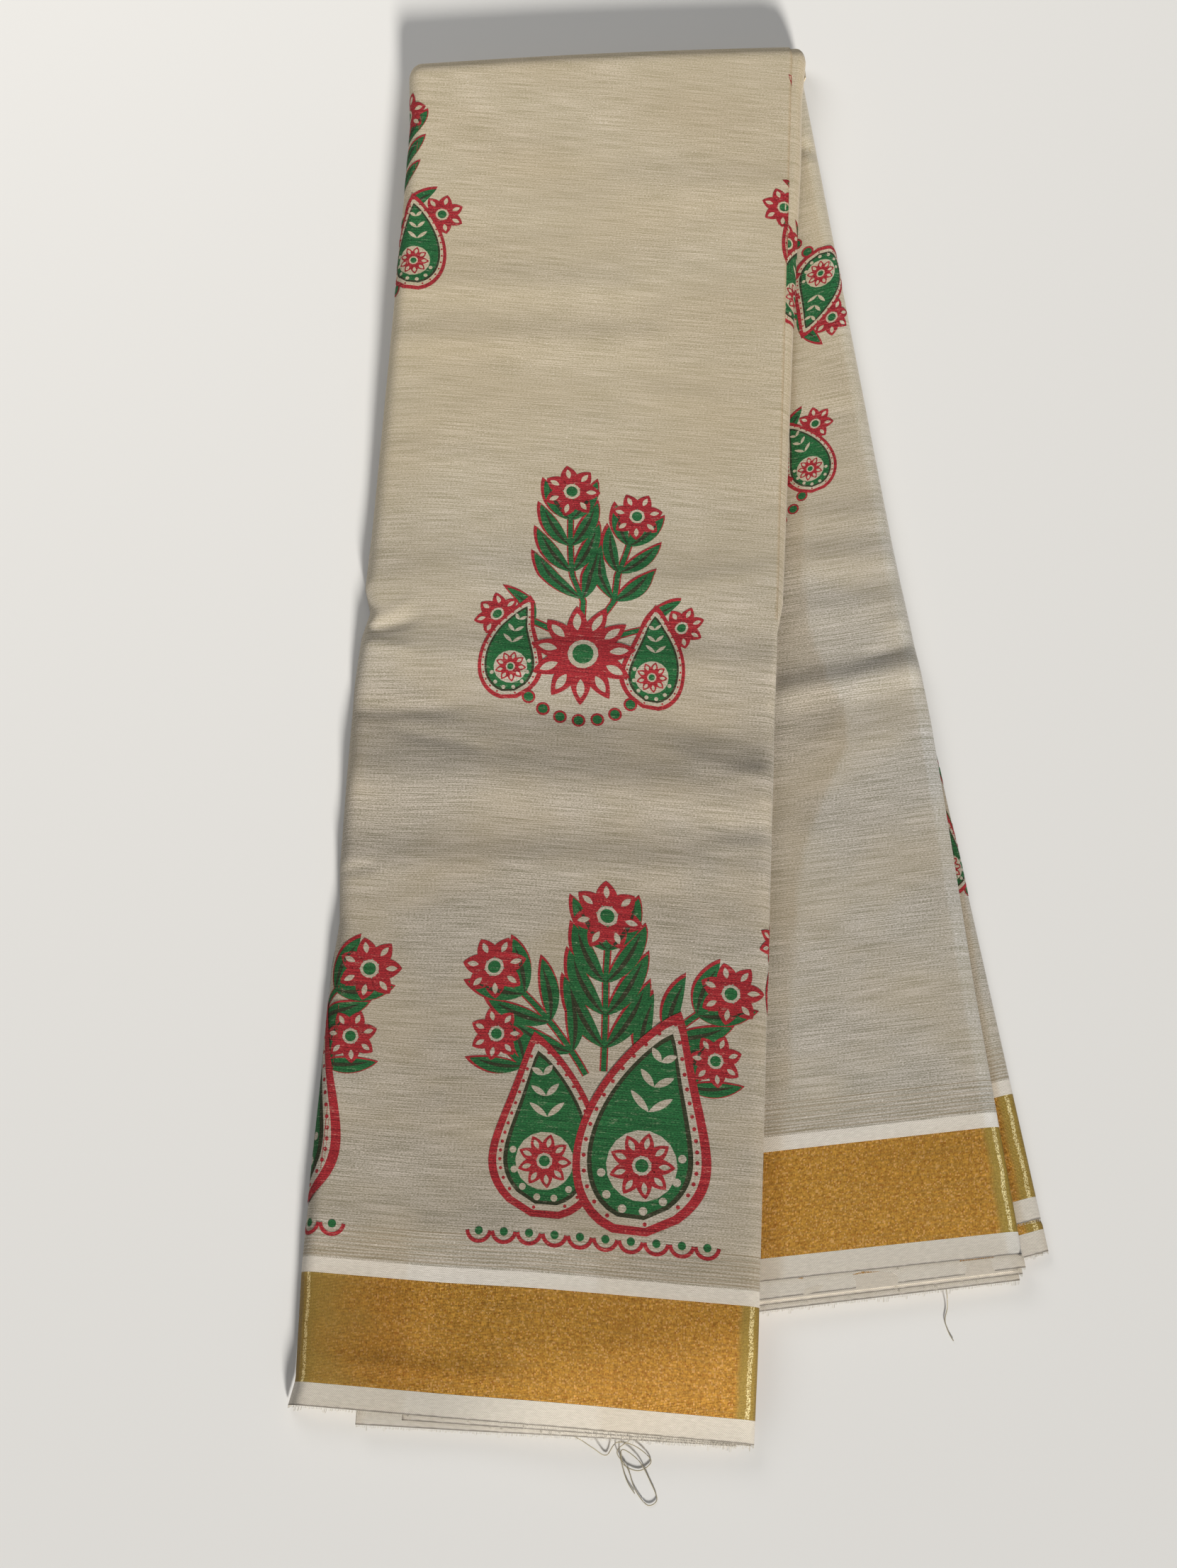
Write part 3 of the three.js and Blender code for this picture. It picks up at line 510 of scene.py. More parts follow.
def cotton_weave(g, x, y, contrast):
    """The ribbed weave: how light the thread is, 1 or more where it is a slub, and its height."""
    drift = g.noise(x, y, 0.05, 0.3)
    rib = g.wave(g.add(g.math("DIVIDE", y, RIB), g.times(drift, 0.3)))
    threads = g.noise(x, y, 0.05, 1.9, 2.0, 4.0)  # each thread is lighter or darker over a length
    grain = g.noise(x, y, 1.3, 2.8, 2.0, 7.0)
    streak = g.noise(x, y, 0.04, 0.9, 2.0, 6.0)
    light = 0.5
    for value, share in ((rib, 0.15), (threads, 1.7), (grain, 2.2), (streak, 0.15)):
        light = g.add(light, g.times(g.math("SUBTRACT", value, 0.5), share * contrast))
    slub = g.step(g.noise(x, y, 0.7, 1.7, 1.0, 9.0), 0.67, 0.72)
    light = g.add(g.math("ADD", light, 0.0, clamp=True), g.times(slub, 0.55))
    height = g.add(g.times(rib, 0.18), g.times(grain, 0.7))
    return light, g.add(height, g.times(slub, 0.4))


def cotton_material():
    g = Graph("kora_cotton")
    x, y = g.cloth()
    light, height = cotton_weave(g, x, y, 1.15)
    # Painted light: the cotton is warmer and lighter towards the top fold.
    top_warm_light = g.step(y, 240.0, 430.0)
    pale = g.mix(top_warm_light, (0.58, 0.525, 0.465), (0.635, 0.54, 0.41))
    dark = g.mix(top_warm_light, (0.235, 0.215, 0.155), (0.355, 0.30, 0.185))
    colour = g.mix(light, dark, pale)
    colour = g.mix(g.step(light, 1.02, 1.4, 0.0, 0.6), colour, (0.80, 0.74, 0.64))
    cloudy = g.noise(x, y, 0.02, 0.03, 3.0, 2.0)
    colour = g.mix(g.step(cloudy, 0.38, 0.66, 0.0, 0.28), colour, (0.45, 0.375, 0.25))
    stripes = g.line(y, STRIPE + BROWN_LINES[0], 0.20, 0.2)
    for distance in BROWN_LINES[1:]:
        stripes = g.math("MAXIMUM", stripes, g.line(y, STRIPE + distance, 0.14, 0.2))
    colour = g.mix(g.times(stripes, 0.5), colour, (0.26, 0.20, 0.12))
    return g.finish(
        Base_Color=toned(g, colour), Roughness=0.86, Normal=g.bump(height, 0.00010, 0.6),
        Specular_IOR_Level=0.25, Sheen_Weight=0.12, Sheen_Roughness=0.5,
    )


def toned(g, colour):
    """A colour at the cloth's tone, yellower where darker: for hidden leaves showing through and for painted
    shade.
    """
    value = g.attribute("tone")
    red, blue = g.math("POWER", value, 0.7), g.math("POWER", value, 1.45)
    return g.mix(1.0, colour, g.node("CombineColor", inputs={0: red, 1: value, 2: blue}), "MULTIPLY")


def selvedge_material():
    g = Graph("white_selvedge")
    x, y = g.cloth()
    twill = g.wave(g.math("DIVIDE", g.add(g.times(x, 0.8), y), 0.62))
    fine = g.wave(g.math("DIVIDE", y, 0.41))
    uneven = g.noise(x, y, 0.4, 1.4, 2.0)
    light = g.add(g.add(g.times(twill, 0.5), g.times(uneven, 0.5)), g.times(fine, 0.15))
    slub = g.step(g.noise(x, y, 1.2, 2.4, 1.0, 5.0), 0.66, 0.76)
    light = g.math("ADD", light, g.times(slub, 0.3), clamp=True)
    colour = g.mix(light, (0.38, 0.335, 0.275), (0.88, 0.82, 0.735))
    # Painted shade: the outer selvedge band, below the gold, is a little darker and yellower.
    outer = g.step(y, WHITE - 0.2, WHITE + 0.2, 1.0, 0.0)
    colour = g.mix(g.times(outer, 0.2), colour, g.mix(light, (0.20, 0.17, 0.12), (0.56, 0.50, 0.40)))
    # Painted shadow: a dark line along the selvedge's outer edge, where it steps down onto the leaf below.
    selvedge_edge_shadow = g.step(g.add(y, g.times(uneven, 0.5)), 0.45, 0.95, 0.7, 0.0)
    colour = g.mix(selvedge_edge_shadow, colour, (0.10, 0.085, 0.065))
    return g.finish(
        Base_Color=toned(g, colour), Roughness=0.8, Normal=g.bump(light, 0.00015, 0.7),
        Specular_IOR_Level=0.3, Sheen_Weight=0.1, Sheen_Roughness=0.5,
    )


GOLD_PITCH = (0.47, 0.55)  # millimetres from thread to thread, across and down


def gold_material():
    g = Graph("gold_zari")
    x, y = g.cloth()
    pitch_x, pitch_y = GOLD_PITCH
    over = g.times(g.wave(g.math("DIVIDE", x, pitch_x)), g.wave(g.math("DIVIDE", y, pitch_y)))
    chance = g.speckle(x, y, pitch_x, pitch_y)
    fine = g.speckle(x, y, pitch_x / 2, pitch_y / 2, 3.0)
    patchy = g.noise(x, y, 0.55, 0.9, 2.0, 2.0)
    glint = g.add(g.times(over, 0.4), g.times(chance, 0.45))
    glint = g.math("ADD", glint, g.times(g.math("SUBTRACT", patchy, 0.42), 1.1), clamp=True)
    colour = g.mix(glint, (0.25, 0.10, 0.006), (0.84, 0.45, 0.07))
    sparkle = g.speckle(x, y, pitch_x * 1.15, pitch_y * 1.1, 5.0)
    colour = g.mix(g.step(sparkle, 0.84, 0.95, 0.0, 0.42), colour, (0.92, 0.56, 0.24))
    colour = g.mix(g.step(sparkle, 0.16, 0.06, 0.0, 0.55), colour, (0.36, 0.11, 0.01))
    thread_rows = g.noise(x, y, 0.03, 1.4, 1.0, 6.0)
    colour = g.mix(g.step(thread_rows, 0.45, 0.7, 0.0, 0.35), colour, (0.42, 0.24, 0.06))
    edge = g.attribute("edge")
    wobble = g.times(g.math("SUBTRACT", g.noise(x, y, 0.05, 0.07, 1.0, 8.0), 0.5), 2.2)
    edge = g.add(edge, wobble)
    # Painted shade near a fold edge: the gold turns greenish and dark over this band, which is also rougher
    # and less metallic.
    matte_and_edge_shade = g.step(edge, 5.5, 8.5, 1.0, 0.0)
    greenish = g.mix(g.times(g.add(over, fine), 0.5), (0.21, 0.14, 0.014), (0.52, 0.375, 0.075))
    colour = g.mix(g.times(matte_and_edge_shade, 0.85), colour, greenish)
    shine = g.line(edge, 3.3, 0.4, 1.1)
    bright = g.step(g.times(shine, g.add(g.times(fine, 0.7), g.times(chance, 0.35))), 0.38, 0.62)
    colour = g.mix(g.times(bright, 0.85), colour, (0.97, 0.83, 0.44))
    # Painted shade: darker still on the outermost turned-down part of a fold edge.
    rim = g.step(edge, 0.3, 1.6, 1.0, 0.0)
    colour = g.mix(g.times(rim, 0.35), colour, (0.17, 0.105, 0.02))
    rough = g.add(0.34, g.times(g.math("MAXIMUM", matte_and_edge_shade, g.times(chance, 0.5)), 0.3))
    normal = g.bump(g.add(over, g.times(chance, 0.5)), 0.00018, 0.8)
    return g.finish(
        Base_Color=toned(g, colour), Roughness=rough, Normal=normal,
        Metallic=g.times(g.math("SUBTRACT", 1.0, g.times(matte_and_edge_shade, 0.6)), 0.6),
    )


def print_material(name, dark, pale):
    """Printed colour, worn off the cotton's ribs in places."""
    g = Graph(name)
    x, y = g.cloth()
    light, height = cotton_weave(g, x, y, 0.9)
    worn = g.noise(x, y, 0.25, 0.9, 3.0, 1.0)
    ink = g.mix(light, dark, pale)
    bare = g.mix(light, (0.36, 0.31, 0.23), (0.66, 0.60, 0.49))
    keep = g.step(g.add(g.times(worn, 0.8), g.times(light, 0.2)), 0.55, 0.85, 1.0, 0.6)
    return g.finish(
        Base_Color=toned(g, g.mix(keep, bare, ink)), Roughness=0.88, Normal=g.bump(height, 0.00012, 0.7),
        Specular_IOR_Level=0.2,
    )


def thread_material(name, colour):
    return Graph(name).finish(Base_Color=colour, Roughness=0.75, Sheen_Weight=0.2)


# ---- Meshes ----


class Cloth:
    """Points, faces and what the materials read, gathered into one piece."""

    def __init__(self):
        self.points, self.faces, self.bands = [], [], []
        self.uv, self.edge, self.tone = [], [], []

    def point(self, place, uv, edge=20.0, tone_value=1.0):
        self.points.append(place)
        self.uv.append(uv)
        self.edge.append(edge)
        self.tone.append(tone_value)
        return len(self.points) - 1

    def face(self, corners, band=0):
        self.faces.append(corners)
        self.bands.append(band)

    def skin(self, rings, bands=None):
        """Faces between closed rings of points, and a cap at each end."""
        for j, (a, b) in enumerate(zip(rings, rings[1:])):
            for k in range(len(a)):
                n = (k + 1) % len(a)
                self.face((a[k], a[n], b[n], b[k]), bands[j] if bands else 0)
        self.face(tuple(reversed(rings[0])), bands[0] if bands else 0)
        self.face(tuple(rings[-1]))

    def piece(self, name, materials, slot, sharp=40.0):
        mesh = bpy.data.meshes.new(name)
        mesh.from_pydata([tuple(c * MM for c in p) for p in self.points], [], self.faces)
        for material in materials:
            mesh.materials.append(material)
        mesh.polygons.foreach_set("material_index", self.bands)
        layer = mesh.uv_layers.new(name="cloth")
        for loop in mesh.loops:
            u, v = self.uv[loop.vertex_index]
            layer.data[loop.index].uv = (u * MM, v * MM)
        for key, values in (("edge", self.edge), ("tone", self.tone)):
            attribute = mesh.attributes.new(key, "FLOAT", "POINT")
            attribute.data.foreach_set("value", values)
        mesh.polygons.foreach_set("use_smooth", [True] * len(mesh.polygons))
        mesh.set_sharp_from_angle(angle=radians(sharp))
        piece = link(name, mesh)
        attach(piece, "root")
        return piece


def band_of(r):
    """Material of the cloth at a distance from its selvedge: cotton 0, selvedge 1, gold 2."""
    if r < WHITE or GOLD < r < STRIPE:
        return 1
    return 2 if WHITE < r < GOLD else 0


def add_leaf(node, leaf, slot, spacing, high, tone_at):
    """A leaf as a thin shell: its face, its back and the rim between them."""
    cloth = Cloth()
    rows = [leaf.row(r) for r in leaf.stops(0.0, high, spacing)]
    sides = []
    for lift in (0.0, -CLOTH):
        side = []
        for row in rows:
            line = []
            for u in row.columns(spacing):
                place = row.place(u, lift)
                value = tone_at(place, row, u)
                line.append(cloth.point(place, (u, row.v(u)), row.edge_distance(u), value))
            side.append(line)
        sides.append(side)
    face, back = sides
    last = len(face[0]) - 1
    for j in range(len(rows) - 1):
        band = band_of((rows[j].r + rows[j + 1].r) / 2)
        for i in range(last):
            cloth.face((face[j][i], face[j][i + 1], face[j + 1][i + 1], face[j + 1][i]), band)
            cloth.face((back[j][i], back[j + 1][i], back[j + 1][i + 1], back[j][i + 1]), band)
        cloth.face((face[j][0], face[j + 1][0], back[j + 1][0], back[j][0]), band)
        cloth.face((face[j][last], back[j][last], back[j + 1][last], face[j + 1][last]), band)
    for j, turned in ((0, False), (len(rows) - 1, True)):
        band = band_of(rows[j].r + (-0.1 if turned else 0.1))
        for i in range(last):
            rim = (face[j][i], back[j][i], back[j][i + 1], face[j][i + 1])
            cloth.face(rim[::-1] if turned else rim, band)
    piece = cloth.piece(node + "_cloth", CLOTH_MATERIALS, slot)
    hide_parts(node)
    return piece


def add_fold(cloth, leaf, low, high, level, thick, left, right, k, seed):
    """A hidden leaf, doubled: a flat tube whose rounded long edges are a little uneven.

    left and right give how far its edges stand in from the leaf's own, from the row and its number k.
    """
    rows = [leaf.row(r) for r in leaf.stops(low, high, FOLD_SPACING)]
    flat, half = 8, thick / 2
    rings = []
    for row in rows:
        sway = [0.9 * noise.noise(Vector((row.r / 26, seed * 5.3, side))) for side in (0.5, 8.5)]
        start = left(row, k) + half + sway[0]
        end = row.width - right(row, k) - half + sway[1]
        ring = [(start + (end - start) * i / flat, level + thick) for i in range(flat + 1)]
        ring += [shifted(end, level + half, 90 - 45 * i, half) for i in (1, 2, 3)]
        ring += [(end + (start - end) * i / flat, level) for i in range(flat + 1)]
        ring += [shifted(start, level + half, 270 - 45 * i, half) for i in (1, 2, 3)]
        # Tone 0.93 is a painted shade on the hidden leaves lying between the outer ones.
        rings.append([
            cloth.point(leaf.lie(row, across, up), (across, row.v(across)), 8.0, 0.93)
            for across, up in ring
        ])
    cloth.skin(rings, [band_of((a.r + b.r) / 2) for a, b in zip(rows, rows[1:])])


def shifted(x, y, turn, along, off=0.0):
    """The point that far along a direction in degrees, and that far off to its left."""
    turn = radians(turn)
    return (x + along * cos(turn) - off * sin(turn),
            y + along * sin(turn) + off * cos(turn))


def add_tube(cloth, points, radius, sides=5):
    """A closed tube along points, for a thread."""
    rings = []
    for i, point in enumerate(points):
        ahead = points[min(i + 1, len(points) - 1)] - points[max(i - 1, 0)]
        across = ahead.orthogonal().normalized()
        up = ahead.normalized().cross(across)
        rings.append([])
        for k in range(sides):
            turn = 2 * pi * k / sides
            offset = (across * cos(turn) + up * sin(turn)) * radius
            rings[-1].append(cloth.point(point + offset, (i * 0.4, k * 0.2)))
    cloth.skin(rings)


LOOP_PITCH = 1.05
LOOP_RADIUS = 0.085


def add_loops(node, leaf, seed):
    """Tiny loops of weft thread along a selvedge."""
    chance = random.Random(seed)
    cloth = Cloth()
    row, inner = leaf.row(0.0), leaf.row(2.0)
    u, stop = row.first - row.left_arc * 0.9, row.last + row.right_arc * 0.9
    while u < stop:
        reach = chance.uniform(0.45, 0.95) if chance.random() < 0.9 else chance.uniform(1.2, 2.0)
        wide = chance.uniform(0.35, 0.7)
        foot = [row.place(u, -CLOTH / 2), row.place(u + wide, -CLOTH / 2)]
        out = (foot[0] - inner.place(u, -CLOTH / 2)).normalized()
        lean = chance.uniform(-0.25, 0.25)
        along = (foot[1] - foot[0]) * lean
        up = Vector((0, 0, chance.uniform(-0.15, 0.2)))
        tip = [f + out * reach + along + up for f in foot]
        middle = (tip[0] + tip[1]) / 2 + out * 0.12
        add_tube(cloth, [foot[0], tip[0], middle, tip[1], foot[1]], LOOP_RADIUS, 3)
        u += LOOP_PITCH * chance.uniform(0.8, 1.2)
    return cloth.piece(node + "_loops", [THREAD], "white_selvedge", sharp=80.0)


# ---- Prints: a flowering mango motif of general Indian kind, in red and green ----

PRINT_LIFT = 0.07  # the lowest print, off the cloth's face
LAYER_LIFT = 0.014  # from one layer of the prints to the next
PRINT_SPACING = 1.9
EDGE_SPACING = 0.6 * PRINT_SPACING  # near a turned-down edge


def blade(x, y, turn, length, width, bend=0.0, skew=1.0, steps=14):
    """A pointed leaf, petal or mango shape that starts at (x, y) and bends to one side."""
    sides = ([], [])
    for k in range(steps + 1):
        t = k / steps
        along, off = length * t, bend * length * t * t
        slope = atan2(2 * bend * t, 1)
        half = width / 2 * sin(pi * t**skew) ** 0.8
        for side, sign in zip(sides, (1, -1)):
            across = sign * half
            side.append(shifted(x, y, turn, along - across * sin(slope), off + across * cos(slope)))
    return sides[1] + sides[0][-2:0:-1]


def disc(x, y, radius, count=14):
    turns = [2 * pi * k / count for k in range(count)]
    return [(x + radius * cos(t), y + radius * sin(t)) for t in turns]


def stroke(points, width):
    """A band of even width along points."""
    sides = ([], [])
    for i, (x, y) in enumerate(points):
        ahead, behind = points[min(i + 1, len(points) - 1)], points[max(i - 1, 0)]
        dx, dy = ahead[0] - behind[0], ahead[1] - behind[1]
        length = hypot(dx, dy) or 1.0
        for side, sign in zip(sides, (1, -1)):
            side.append((x - sign * dy / length * width / 2, y + sign * dx / length * width / 2))
    return sides[1] + sides[0][::-1]


def outlined_leaf(x, y, turn, length, width, bend=0.0):
    """A green leaf with a dark vein and a red edge."""
    return [
        ("red", 0, blade(x - 0.5, y + 0.3, turn, length + 1.4, width + 1.1, bend)),
        ("green", 1, blade(x, y, turn, length, width, bend)),
        ("dark", 2, blade(x, y, turn, length * 0.86, width * 0.24, bend)),
    ]


def rosette(x, y, radius, petals, turn=0.0):
    """A flower of red petals round a ringed green heart."""
    shapes = []
    for k in range(petals):
        angle = turn + 360 * k / petals
        foot, vein = (shifted(x, y, angle, share * radius) for share in (0.24, 0.5))
        shapes.append(("red", 2, blade(*foot, angle, 0.76 * radius, 2.1 * radius / petals * 2, 0.0, 0.8)))
        shapes.append(("bare", 3, blade(*vein, angle, 0.36 * radius, 0.13 * radius + 0.5)))
    shapes.append(("bare", 3, disc(x, y, 0.29 * radius)))
    shapes.append(("green", 4, disc(x, y, 0.2 * radius)))
    return shapes


def sprig(x, y, turn, reach, bend, pairs, size):
    """A bent stem with pairs of leaves, and a small flower at its tip."""

    def at(t):
        return shifted(x, y, turn, reach * t, bend * reach * t * t)

    stem = [at(k / 10) for k in range(11)]
    shapes = [("red", 0, stroke(stem, 3.2)), ("green", 1, stroke(stem, 2.1))]
    for k in range(pairs):
        t = (k + 0.7) / (pairs + 0.6)
        slope = turn + degrees(atan2(2 * bend * t, 1))
        for side in (1, -1):
            length = size * (1.25 - 0.4 * t)
            shapes += outlined_leaf(*at(t), slope + side * 48, length, size * 0.3, -0.3 * side)
    return shapes + rosette(*at(1.04), size * 0.55, 7, turn)


def mango(x, y, turn, size, bend, order):
    """A mango shape: a dotted red border round a green body with a flower and leaves."""

    def at(along, off=0.0):
        return shifted(x, y, turn, along * size, (off + bend * along * along) * size)

    shapes = [("red", order, blade(x, y, turn, size, size * 0.64, bend, 0.62, 26))]
    steps = ((0.04, 0.56, "bare", 1), (0.075, 0.49, "dark", 2), (0.095, 0.445, "green", 3))
    for inset, wide, ink, above in steps:
        outline = blade(*at(inset), turn, size * (1 - 2.3 * inset), size * wide, bend, 0.62, 26)
        shapes.append((ink, order + above, outline))
    rim = blade(*at(0.055), turn, size * 0.89, size * 0.525, bend, 0.62, 30)
    shapes += [("red", order + 2, disc(*place, size * 0.010, 8)) for place in rim[::2]]
    flower = rosette(*at(0.32), size * 0.155, 9)
    shapes += [("bare", order + 4, disc(*at(0.32), size * 0.165, 18))]
    shapes += [(ink, order + 3 + above, shape) for ink, above, shape in flower]
    for k in range(3):
        along = 0.56 + 0.11 * k
        slope = turn + degrees(atan(2 * bend * along))
        for side in (1, -1):
            leaf = blade(*at(along), slope + side * 50, size * (0.13 - 0.025 * k), size * 0.035)
            shapes.append(("bare", order + 4, leaf))
    for k in range(7):
        angle_out = radians(90 + 30 * k)
        place = at(0.32 + 0.205 * cos(angle_out), 0.19 * sin(angle_out))
        shapes.append(("bare", order + 4, disc(*place, size * 0.02, 10)))
    return shapes


def gathered(make, rows):
    return [shape for row in rows for shape in make(*row)]


def great_motif():
    """Two mangoes, flowering sprigs above them and a scalloped ground below."""
    shapes = gathered(sprig, [
        (0, -6, 90, 62, 0.04, 4, 27), (-7, -8, 122, 54, 0.2, 3, 24), (9, -10, 56, 54, -0.2, 3, 24),
        (-22, -12, 158, 26, -0.3, 1, 20), (24, -14, 20, 24, 0.3, 1, 20),
    ])
    shapes += gathered(mango, [(-25, -66, 74, 70, 0.34, 5), (21, -70, 104, 86, -0.36, 11)])
    for k in range(10):
        x = -45 + 10 * k
        scallop = [shifted(x, -72, 185 + 170 * i / 12, 4.6) for i in range(13)]
        shapes.append(("red", 0, stroke(scallop, 1.5)))
        shapes.append(("green", 1, disc(x, -72.5, 1.6)))
    return shapes


def small_motif():
    """Leafy sprigs round a large flower and two small mangoes, for the smaller print."""
    shapes = gathered(sprig, [
        (-3, -8, 104, 58, -0.12, 4, 23), (5, -8, 66, 50, 0.14, 3, 21),
        (-12, -16, 152, 27, 0.25, 1, 18), (13, -16, 28, 27, -0.25, 1, 18),
    ])
    shapes += gathered(mango, [(-27, -47, 112, 44, -0.4, 4), (27, -47, 68, 44, 0.4, 4)])
    shapes += [(ink, order + 8, shape) for ink, order, shape in rosette(0, -25, 23, 11, 9)]
    for k in range(7):
        place = shifted(0, -24, 225 + 90 * k / 6, 31)
        shapes.append(("red", 0, disc(*place, 3.0)))
        shapes.append(("green", 1, disc(*place, 2.1)))
    return shapes


def placed(motif, u, v, size=1.0, turn=0.0):
    """A motif's shapes moved to a place on the cloth."""
    c, s = cos(radians(turn)) * size, sin(radians(turn)) * size
    return [
        (ink, order, [(u + x * c - y * s, v + x * s + y * c) for x, y in outline])
        for ink, order, outline in motif()
    ]


def refined(outline, spacing):
    points = []
    for (x, y), (nx, ny) in zip(outline, outline[1:] + outline[:1]):
        count = max(1, ceil(hypot(nx - x, ny - y) / spacing))
        points += [(x + (nx - x) * k / count, y + (ny - y) * k / count) for k in range(count)]
    return points


def inside(outline, x, y):
    odd = False
    for (ax, ay), (bx, by) in zip(outline, outline[1:] + outline[:1]):
        if (ay > y) != (by > y) and x < ax + (y - ay) / (by - ay) * (bx - ax):
            odd = not odd
    return odd


def add_prints(prefix, leaf, motifs, tone_at):
    """One piece for each ink, laid on the leaf's face point by point."""
    shapes = gathered(placed, motifs)
    pieces = []
    for ink in ("red", "bare", "green", "dark"):
        cloth = Cloth()
        for _, order, outline in (shape for shape in shapes if shape[0] == ink):
            spacing = EDGE_SPACING if reaches_edge(leaf, outline) else PRINT_SPACING
            lay_print(cloth, leaf, refined(outline, spacing), order, tone_at, spacing)
        if cloth.faces:
            pieces.append(cloth.piece(f"{prefix}_print_{ink}", [INKS[ink]], "kora_cotton"))
    return pieces


def reaches_edge(leaf, outline):
    """Whether a shape comes near the leaf's turned-down edges, where it is cut more finely."""
    across = [x for x, _ in outline]
    row = leaf.row_at(across[0], outline[0][1])
    return min(across) < row.first + 3 or max(across) > row.last - 3


def lay_print(cloth, leaf, outline, order, tone_at, spacing):
    lows = [min(p[i] for p in outline) for i in (0, 1)]
    highs = [max(p[i] for p in outline) for i in (0, 1)]
    points = [Vector(p) for p in outline]
    for i in range(1, int((highs[0] - lows[0]) / spacing) + 1):
        for j in range(1, int((highs[1] - lows[1]) / spacing) + 1):
            x, y = lows[0] + i * spacing, lows[1] + j * spacing
            if inside(outline, x, y):
                points.append(Vector((x, y)))
    result = delaunay_2d_cdt(points, [], [list(range(len(outline)))], 1, 1e-4)
    made = {}
    lift = PRINT_LIFT + LAYER_LIFT * order
    for face in result[2]:
        corners = []
        for index in face:
            if index not in made:
                u, v = result[0][index]
                row = leaf.row_at(u, v)
                made[index] = None
                if row.first - row.left_arc < u < row.last + row.right_arc and v > STRIPE:
                    round_edge = smooth(max(row.first - u, u - row.last) / 2)
                    place = row.place(u, lift * (1 + 0.8 * round_edge))
                    made[index] = cloth.point(place, (u, v), row.edge_distance(u), tone_at(place, row, u))
            corners.append(made[index])
        if None not in corners:
            cloth.face(tuple(corners))


# ---- Changes of tone: hidden leaves showing through, and painted shade and light ----

# Y, and the X up to which the back leaf is darker
BACK_SHADE_EDGE = [
    (-250, 41.0), (-189, 43.5), (-133, 47.8), (-105, 49.8), (-76, 53.8), (-55, 62.1), (-39, 69.2),
    (-31, 72.9), (-22, 73.8), (-12, 70.7), (-3, 66.4), (22, 58.8), (48, 57.3), (80, 59.2), (127, 57.0),
    (290, 62.0),
]
PALE_RECTANGLE = (-99.6, -27.5)  # X, in the front leaf's border


def back_tone(place, row, u):
    edge = table_values(BACK_SHADE_EDGE, place.y)[0] + 0.8 * noise.noise(Vector((place.y / 9, 0, 0)))
    shade = 0.86 + 0.14 * smooth((place.x - edge) / 2.4 + 0.5)
    # Painted light: the back leaf is lighter within a few millimetres of its fold edge.
    fold_edge_light = 1 + 0.13 * (1 - smooth((row.edge_distance(u) - 5) / 2))
    cloudy = 1 + 0.05 * noise.noise(Vector((place.x / 45, place.y / 30, 5.0)))
    return shade * fold_edge_light * cloudy


def front_tone(place, row, u):
    cloudy = 1 + 0.06 * noise.noise(Vector((place.x / 55, place.y / 28, 1.0)))
    # Painted shade: the front leaf is darker towards its lower end, more so above the inner stripe.
    low = 0.89 if row.r > STRIPE else 0.95
    value = cloudy * (low + (1 - low) * smooth((place.y + 40) / 80))
    # Painted shadow on the turned-down right edge above Y 20, where the front leaf meets the second leaf.
    if u > row.last and place.y > 20:
        value *= 1 - 0.45 * (u - row.last) / row.right_arc
    if row.r < STRIPE + 10 and row.angle is None:
        left, right = PALE_RECTANGLE
        within = smooth((place.x - left) / 1.4 + 0.5) * smooth((right - place.x) / 1.4 + 0.5)
        value *= 0.98 + 0.07 * within
        # Painted shade: the gold band is darker towards the left fold edge.
        if WHITE < row.r < GOLD:
            value *= 0.84 + 0.16 * smooth((place.x + 112) / 30)
        # Painted shadow of a wrinkle across the left of the gold band.
        wrinkle_shadow = exp(-((place.x + 90) / 26) ** 2 - ((row.v(u) - 16) / 3) ** 2)
        value *= 1 - 0.16 * wrinkle_shadow
    return value


# Painted shade: a leaf is darker within 4 mm of its fold edges, where it turns down.
def fold_edge_shade(place, row, u):
    return 0.9 + 0.1 * smooth(row.edge_distance(u) / 4.0)


def offset_tone(place, row, u):
    """The lower bundle is shaded beside the back leaf's edge, and pale away from it."""
    (_, top), length, slant, _ = EDGES["back_right"]
    edge = edge_point("back_right", (top - place.y) / (length * cos(radians(slant))))
    return 0.8 + 0.22 * smooth((place.x - edge.x - 1.2) / 2.2)


# ---- The saree ----

COTTON = cotton_material()
CLOTH_MATERIALS = [COTTON, selvedge_material(), gold_material()]
THREAD = thread_material("loop_thread", (0.60, 0.55, 0.46))
LOOSE_THREAD = thread_material("loose_thread", (0.30, 0.26, 0.17))
INKS = {
    "red": print_material("red_print", (0.13, 0.010, 0.014), (0.50, 0.035, 0.045)),
    "green": print_material("green_print", (0.008, 0.045, 0.016), (0.03, 0.185, 0.06)),
    "dark": print_material("dark_print", (0.012, 0.016, 0.008), (0.055, 0.06, 0.03)),
    "bare": COTTON,
}

# A leaf's left and right edges
FRONT = ("front_left", "front_right")
BACK = ("tuck_line", "back_right")
OFFSET = ("offset_right", "offset_right")

# How far the leaves of the front half run on past the top fold's turn
FIRST_RUN = 12
SECOND_RUN = 4.5
HIDDEN_RUN = 5
OFFSET_TOP = 4.9

# A motif, its place across and up the cloth, its size and its turn in degrees
FRONT_PRINTS = [
    (great_motif, 109, 137, 0.95), (small_motif, 93, 325, 0.94), (great_motif, -33, 137, 0.97),
    (small_motif, -23, 512), (small_motif, 205, 536, 1.0, 12), (small_motif, 210, 196, 0.9),
]
SECOND_PRINTS = [(small_motif, 211, 505, 1.0, -8)]
BACK_PRINTS = [(small_motif, -10, 402, 0.9, 172), (small_motif, -12, 352, 0.8, 20)]
OFFSET_PRINTS = [(small_motif, 44, 168, 0.8)]


